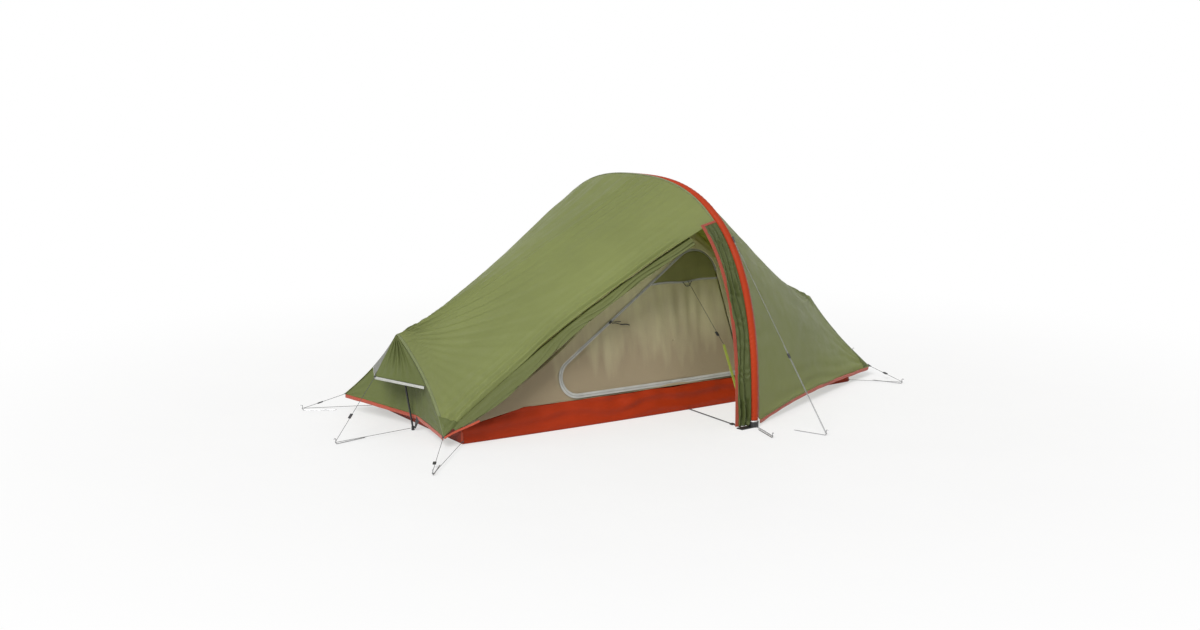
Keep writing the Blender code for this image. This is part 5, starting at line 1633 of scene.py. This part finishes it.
    def ring_panel(self, inner: Array, outer: Array, centre: Array, steps: int,
                   sweep: Pair | None = None) -> Panel:
        """A panel of the near wall between two outlines in X and Z, along rays from a centre.

        Args:
            inner: Inner outline, or the centre itself for a panel without a hole.
            outer: Outer outline.
            centre: Centre that both outlines can be seen from.
            steps: How many rows lie between the outlines.
            sweep: First and last angle, or nothing for the whole turn.

        Returns:
            The panel, whose last column meets its first one where it makes the whole turn.
        """
        corners = np.concatenate([outer, inner]) - centre
        start, end = sweep or (-math.pi, math.pi)
        kinks = start + (np.arctan2(corners[:, 1], corners[:, 0]) - start) % TAU
        even = np.linspace(start, end, 260, endpoint=sweep is not None)
        angles = np.sort(np.concatenate([even, kinks[kinks < end]]))
        angles = angles[np.insert(np.diff(angles) > 1e-4, 0, True)]
        low = polar_radius(inner, centre, angles) if len(inner) > 1 else np.full(len(angles), 0.0003)
        high = polar_radius(outer, centre, angles)
        share = np.linspace(0.0, 1.0, steps)[:, None]
        reach = low[None, :] + (high - low)[None, :] * share
        x = centre[0] + reach * np.cos(angles)[None, :]
        z = centre[1] + reach * np.sin(angles)[None, :]
        pinned = rise(1 - share, 0.0, 0.10) * (rise(share, 0.0, 0.10) if len(inner) > 1 else 1.0)
        return Panel(INNER.wall_point(x, z, self.wall_folds(x, z) * pinned), stack(x, z), sweep is None)

    def wall_outline(self) -> Array:
        """The near wall's outer outline.

        Returns:
            Its points in X and Z.
        """
        shoulder = INNER.shoulders[0]
        foot, head = INNER.end_x(shoulder, True) + 0.003, INNER.end_x(shoulder, False) - 0.003
        x = np.linspace(foot, head, 181)
        low = stack(x, INNER.tub_top(x) + 0.002)
        high = stack(x, INNER.ridge(x, INNER.shoulders) - 0.002)
        return np.concatenate([low, high[::-1]])

    def build_wall(self) -> None:
        """The near wall round the door, the door, and the mesh vent in its top."""
        outline = np.concatenate(self.arcs)
        centre = np.array(self.wall_middle)
        spots = np.array([(self.door_head, INNER.tub_height), self.door_top,
                          (self.door_foot + self.foot_seam, INNER.tub_height)]) - centre
        head, top, foot = (float(angle) % TAU for angle in np.arctan2(spots[:, 1], spots[:, 0]))
        for part, sweep in (("head", (head - TAU, top)), ("foot", (top, foot)), ("sill", (foot, head))):
            wall = self.ring_panel(moved_in(outline, -self.gap / 2), self.wall_outline(), centre, 46, sweep)
            made = piece(f"near_wall_{part}", wall, PALETTE.inner, ("inner_near_wall",), cloth=self.cloth)
        panel = moved_in(outline, self.gap / 2)
        door = cut_at(panel, self.vent_height - 0.0005, False)
        leaf = self.ring_panel(np.zeros((1, 2)), door, np.array(self.leaf_middle), 50)
        made = piece("door_panel", leaf, PALETTE.inner, ("inner_door",), Body.DOOR, self.cloth)
        vent = cut_at(panel, self.vent_height + 0.0005, True)
        net = self.ring_panel(np.zeros((1, 2)), vent, np.array(self.net_middle), 26)
        made = piece("door_net", net, PALETTE.mesh, ("inner_vent_mesh",), Body.DOOR, self.cloth)
        self.build_vent_trim(vent)

    def build_vent_trim(self, vent: Array) -> None:
        """The grey tape along the vent's sill, which sags a little, and the black loop that hangs from it.

        Args:
            vent: The vent's outline in X and Z.
        """
        ends = vent[np.abs(vent[:, 1] - self.vent_height) < 0.002, 0]
        sill = stack(np.linspace(ends.min() + 0.003, ends.max() - 0.003, 60), self.vent_height)
        sag = self.sill_sag * np.sin(np.linspace(0.0, 3.2 * math.pi, 60)) * np.sin(np.linspace(0.0, math.pi, 60))
        path = INNER.wall_point(sill[:, 0], sill[:, 1] + sag, self.sill_out)
        piece("vent_sill_tape", band_panel(path, UP, *self.sill_tape), PALETTE.grey_tape,
              body=Body.DOOR)
        path = evened(INNER.wall_point(*np.array(self.tie).T, self.tie_out), 40)
        piece("vent_tie", tube_panel(path, self.tie_radius, ACROSS), PALETTE.webbing, body=Body.DOOR)

    def zip_track(self) -> Array:
        """The zip's line: round the top, down to the foot corner and along the sill.

        Returns:
            Its points in X and Z.
        """
        line = np.concatenate([self.arcs[2], self.arcs[0], self.arcs[1][:9]])
        length = np.insert(np.cumsum(np.linalg.norm(np.diff(line, axis=0), axis=1)), 0, 0.0)
        places = np.linspace(0.0, length[-1], 520)
        return stack(np.interp(places, length, line[:, 0]), np.interp(places, length, line[:, 1]))

    def build_zip(self) -> None:
        """The zip: its two woven tapes and the chain of teeth between them."""
        track = self.zip_track()
        step = unit(np.gradient(track, axis=0))
        side = stack(-step[:, 1], 0.0, step[:, 0])
        path = INNER.wall_point(track[:, 0], track[:, 1], self.zip_out)
        width = self.zip_width * (1 - 0.42 * rise(track[:, 1], 0.24, 0.42))
        piece("door_zip_tape", band_panel(path, side, width, self.zip_thickness), PALETTE.grey_tape,
              ("inner_door_zip",))
        chain_path = INNER.wall_point(track[:, 0], track[:, 1], self.zip_out + self.chain_out)
        piece("door_zip_teeth", band_panel(chain_path, side, *self.chain, sides=12), PALETTE.chain)

    def build_pull(self) -> None:
        """The black pull on the slider: a moulded cord end that stands off the door, and its loop."""
        sill = INNER.tub_height + self.sill_rise
        share = (self.slider_x - self.door_foot) / (self.door_top[0] - self.door_foot)
        height = sill + (self.door_top[1] - sill) * share
        bend = np.linspace(0.0, 1.0, 40)
        path = INNER.wall_point(self.slider_x + 0.004 + self.pull * bend,
                                height - 0.006 - 0.016 * bend ** 1.5 + 0.002 * np.sin(bend * 9.0), 0.012 + 0.003 * bend)
        radius = 0.0013 + 0.0013 * rise(bend, 0.42, 0.50)
        piece("zip_pull", tube_panel(path, radius, ACROSS), PALETTE.plastic, body=Body.SLIDER)

    def build(self) -> None:
        """Makes every piece of the inner tent."""
        self.build_tub()
        self.build_corners()
        self.build_roof()
        self.build_wall()
        self.build_zip()
        self.build_pull()


# Cords, straps and small parts

@dataclass(frozen=True)
class Line:
    """One guyline: where it is tied, its peg, and its second tie or the share that is doubled."""

    name: str
    first: Point
    peg: Pair
    second: Point | None = None
    clear: float = 0.006
    second_clear: float = 0.006
    doubled: float = 0.45


@dataclass
class Rigging:
    """Guylines, tension cord and straps."""

    radius: float = 0.0010
    pitch: float = 0.0061
    level: float = 0.0095
    loop_height: float = 0.010
    leg_y: float = 0.769
    cup: float = 0.0218
    tip: float = 0.007
    tab: float = 0.022
    tab_band: Pair = (0.011, 0.0020)
    leg_band: Pair = (0.015, 0.0018)
    ground_band: Pair = (0.010, 0.0020)
    strap_top: Point = (-0.008, -0.585, 0.335)
    strap_low: Point = (-0.010, -0.712, 0.060)
    ground_level: float = 0.003

    def lines(self) -> list[Line]:
        """Every guyline of the tent.

        Returns:
            The guylines.
        """

        def tub_corner(foot: bool, side: float) -> Point:
            """The tie at a corner of the groundsheet."""
            x = INNER.end_x(self.loop_height, foot)
            return tuple(INNER.skewed(stack(x, INNER.side_y(x, self.loop_height, side), self.loop_height)).tolist())

        guy_y, guy_z = (float(value) for value in HOOP.line(0.0, -HOOP.share_at(0.780)))
        hood = Line.clear + self.tip
        cup = Line.clear + self.cup
        return [
            Line("foot_near", FOOT.near, (-1.504, -0.559), tub_corner(True, -1.0)),
            Line("foot_far", FOOT.far, (-1.371, 0.732), tub_corner(True, 1.0)),
            Line("head_near", HEAD.near, (1.182, -0.604), tub_corner(False, -1.0)),
            Line("head_far", HEAD.far, (1.417, 0.942), tub_corner(False, 1.0)),
            Line("foot_hood", FOOT.tip, (-1.556, 0.096), (*FOOT.strut, self.loop_height), second_clear=hood),
            Line("head_hood", HEAD.tip, (1.600, 0.085), (*HEAD.strut, self.loop_height), second_clear=hood),
            Line("hoop_foot_near", (0.0, -self.leg_y, self.loop_height), (-0.084, -0.966), clear=cup, doubled=0.90),
            Line("hoop_near", (0.010, guy_y, guy_z), (0.125, -1.076)),
            Line("hoop_foot_far", (0.0, self.leg_y, self.loop_height), (-0.084, 0.966), clear=cup, doubled=0.90),
            Line("hoop_far", (0.010, -guy_y, guy_z), (0.125, 1.076)),
        ]

    def route(self, line: Line) -> Array:
        """A guyline's path from its tie, round the peg's upright and on to its second tie.

        Args:
            line: The guyline.

        Returns:
            Points of the path.
        """
        hub = np.array([*line.peg, self.level])
        start = toward(line.first, hub, line.clear)
        end = None if line.second is None else toward(line.second, hub, line.second_clear)
        first = math.atan2(start[1] - hub[1], start[0] - hub[0])
        last = first if end is None else math.atan2(end[1] - hub[1], end[0] - hub[0])
        turn = (last - first + math.pi) % TAU - math.pi
        side = 1.0 if turn >= 0 else -1.0
        angles = first - side * math.pi / 2 + np.linspace(0.0, turn - side * math.pi, 9)
        arc = hub + self.pitch / 2 * stack(np.cos(angles), np.sin(angles), 0.0)
        if end is None:
            end = arc[-1] + (start - arc[0]) * line.doubled
        return np.concatenate([mix(start, arc[0], np.linspace(0, 1, 25)[:-1]), arc,
                               mix(arc[-1], end, np.linspace(0, 1, 25)[1:])])

    def build_guylines(self) -> None:
        """Every guyline as a braided cord."""
        for line in self.lines():
            path = self.route(line)
            finish = PALETTE.cord if line.name in ("hoop_near", "hoop_far") else PALETTE.ground_cord
            made = piece(f"cord_{line.name}", tube_panel(path, self.radius, UP), finish,
                         (f"guyline_{line.name}",))

    def build_tension_cord(self) -> None:
        """The taut cord from the inner door to the strap on the near leg."""
        start = INNER.wall_point(0.055, 0.575, 0.008)
        end = toward(self.strap_top, start, 2 * self.radius)
        path = mix(start, end, np.linspace(0.0, 1.0, 30))
        made = piece("door_tension_cord", tube_panel(path, self.radius, UP), PALETTE.dark_cord,
                     ("tension_cord",))

    def build_straps(self) -> None:
        """The tension strap down the near leg and the porch strap on the ground."""
        beside = -self.leg_y + self.cup + 0.0003 + 0.0018
        low = self.strap_low
        path = evened(np.array([self.strap_top, low, (low[0], beside, 0.024), (low[0], beside, 0.007)]), 60)
        piece("leg_strap", band_panel(path, ALONG, *self.leg_band), PALETTE.lime, ("tension_strap",))
        inside = np.array([0.0, float(INNER.side_y(0.0, 0.0, -1.0)) - 0.003, self.ground_level])
        outside = np.array([-0.057, -self.leg_y + 0.017 + 0.003, self.ground_level])
        path = mix(inside, outside, np.linspace(0.0, 1.0, 60))
        side = np.cross(outside - inside, UP)
        piece("ground_strap", band_panel(path, side, *self.ground_band), PALETTE.webbing,
              ("porch_strap",))

    def build_tabs(self) -> None:
        """Black webbing tabs that carry the lines at the corners of the fly and of the groundsheet."""
        for line in self.lines():
            if line.name.startswith("hoop_foot"):
                continue
            spots = {"tab": (line.first, line.peg, self.tab)}
            if line.second is not None and "hood" not in line.name:
                spots["tie"] = (line.second, line.peg, 0.6 * self.tab)
            for part, (place, peg, reach) in spots.items():
                hub = np.array([*peg, self.level])
                out = toward(place, hub, line.clear + 0.002)
                ends = np.array([toward(place, hub, line.clear - reach) + (0.0, 0.0, 0.0035), out])
                tab = band_panel(evened(ends, 24), np.cross(ends[1] - ends[0], UP), *self.tab_band)
                piece(f"{part}_{line.name}", tab, PALETTE.webbing)

    def build_strut_webs(self) -> None:
        """The black webbing that ties each short strut's foot to the hem of its end wall."""
        for end in (FOOT, HEAD):
            middle = (end.strut[1] - end.near[1]) / (end.far[1] - end.near[1])
            hem = end.wall(middle - 0.03, 1.0) + np.array([0.0, 0.0, -0.004])
            foot = np.array([end.strut[0] - end.sign * 0.004, end.strut[1] - 0.010, 0.010])
            path = evened(np.stack([foot, hem]), 24)
            wide = 0.012 + 0.016 * np.linspace(0.0, 1.0, 24)
            piece(f"{end.name}_strut_web", band_panel(path, ACROSS, wide, self.leg_band[1]), PALETTE.webbing)

    def build(self) -> None:
        """Makes the cords and straps."""
        self.build_guylines()
        self.build_tension_cord()
        self.build_straps()
        self.build_tabs()
        self.build_strut_webs()


def dress_frame() -> None:
    """Gives each CAD piece that stays shown its finish."""
    finishes = (
        (("air_beam",), PALETTE.film),
        (("beam_valve", "peg_"), PALETTE.alloy),
        (("foot_strut", "head_strut"), PALETTE.fibre),
        (("valve_cap", "hoop_cup", "runner_", "tension_runner", "porch_strap_buckle", "zip_slider"), PALETTE.plastic),
    )
    for name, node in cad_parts.items():
        for starts, finish in finishes:
            if name.startswith(starts):
                node.data.materials.clear()
                node.data.materials.append(finish.material())
                LOG.info("%s keeps its shape", name)


# Studio

@dataclass
class Studio:
    """Camera, light and floor."""

    azimuth: float = math.radians(-39.0)
    elevation: float = math.radians(9.6)
    distance: float = 6.867
    target: Point = (-0.232, 0.0, 0.413)
    lens: float = 45.0
    sky: float = 0.37
    sun: float = 2.72
    sun_from: Point = (-0.86, -0.46, 0.80)
    sun_angle: float = math.radians(30.0)
    floor_tone: Colour = (0.95, 0.948, 0.94)
    floor_reach: float = 60.0
    floor_glow: float = 0.50
    fade: Pair = (1.2, 4.0)

    def place_camera(self) -> None:
        """The camera at the photograph's viewing angle."""
        back = Vector((math.sin(self.azimuth) * math.cos(self.elevation),
                       -math.cos(self.azimuth) * math.cos(self.elevation), math.sin(self.elevation)))
        data = bpy.data.cameras.new("camera")
        data.lens = self.lens
        data.sensor_width = 36.0
        camera = bpy.data.objects.new("camera", data)
        camera.location = Vector(self.target) + back * self.distance
        camera.rotation_euler = back.to_track_quat("Z", "Y").to_euler()
        bpy.context.scene.collection.objects.link(camera)
        bpy.context.scene.camera = camera

    def light(self) -> None:
        """Even sky light that shows white to the camera, and a wide soft sun from the porch side."""
        world = bpy.data.worlds.new("studio")
        bpy.context.scene.world = world
        world.use_nodes = True
        tree = world.node_tree
        tree.nodes.clear()
        both = tree.nodes.new("ShaderNodeMixShader")
        tree.links.new(seen_rays(tree), both.inputs[0])
        for place, strength in ((1, self.sky), (2, 1.0)):
            white = tree.nodes.new("ShaderNodeBackground")
            white.inputs["Color"].default_value = (1.0, 1.0, 1.0, 1.0)
            white.inputs["Strength"].default_value = strength
            tree.links.new(white.outputs[0], both.inputs[place])
        output = tree.nodes.new("ShaderNodeOutputWorld")
        tree.links.new(both.outputs[0], output.inputs["Surface"])
        lamp = bpy.data.lights.new("sun", "SUN")
        lamp.energy = self.sun
        lamp.angle = self.sun_angle
        sun = bpy.data.objects.new("sun", lamp)
        sun.rotation_euler = Vector(self.sun_from).to_track_quat("Z", "Y").to_euler()
        bpy.context.scene.collection.objects.link(sun)

    def lay_floor(self) -> None:
        """A pale floor that keeps the tent's shadow and turns white away from the tent."""
        mesh = bpy.data.meshes.new("floor")
        reach = self.floor_reach
        mesh.from_pydata([(-reach, -reach, -0.0005), (reach, -reach, -0.0005), (reach, reach, -0.0005),
                          (-reach, reach, -0.0005)], [], [(0, 1, 2, 3)])
        floor = bpy.data.objects.new("floor", mesh)
        bpy.context.scene.collection.objects.link(floor)
        book = NodeBook("studio_floor", 0.6)
        faint = book.spread(book.noise(1.6, 4.0))
        book.colour(book.blend(faint, self.floor_tone, darker(self.floor_tone, 0.02)))
        book.relief(book.noise(2.4, 3.0), 0.02, 0.25)
        away = book.tree.nodes.new("ShaderNodeVectorMath")
        away.operation = "LENGTH"
        book.link(book.places.outputs["Object"], away.inputs[0])
        fade = book.tree.nodes.new("ShaderNodeMapRange")
        fade.interpolation_type = "SMOOTHSTEP"
        fade.inputs["From Min"].default_value = self.fade[0]
        fade.inputs["From Max"].default_value = self.fade[1]
        fade.inputs["To Min"].default_value = self.floor_glow
        book.link(away.outputs["Value"], fade.inputs["Value"])
        glow = book.tree.nodes.new("ShaderNodeEmission")
        glow.inputs["Strength"].default_value = 1.0
        share = book.math("MULTIPLY", fade.outputs[0], seen_rays(book.tree))
        both = book.tree.nodes.new("ShaderNodeMixShader")
        book.link(share, both.inputs[0])
        book.link(book.shader.outputs[0], both.inputs[1])
        book.link(glow.outputs[0], both.inputs[2])
        book.link(both.outputs[0], book.tree.nodes["Material Output"].inputs["Surface"])
        mesh.materials.append(book.material)

    def build(self) -> None:
        """Sets up the camera, the light and the floor."""
        bpy.context.scene.view_settings.view_transform = "Standard"
        self.place_camera()
        self.light()
        self.lay_floor()


def main() -> None:
    """Builds the studio and dresses the tent, sub-assembly by sub-assembly."""
    logging.basicConfig(level=logging.INFO, format="%(name)s: %(message)s", stream=sys.stdout)
    Studio().build()
    Rigging().build()
    Flysheet().build()
    HoopParts().build()
    InnerTent().build()
    dress_frame()


if __name__ == "__main__":
    main()
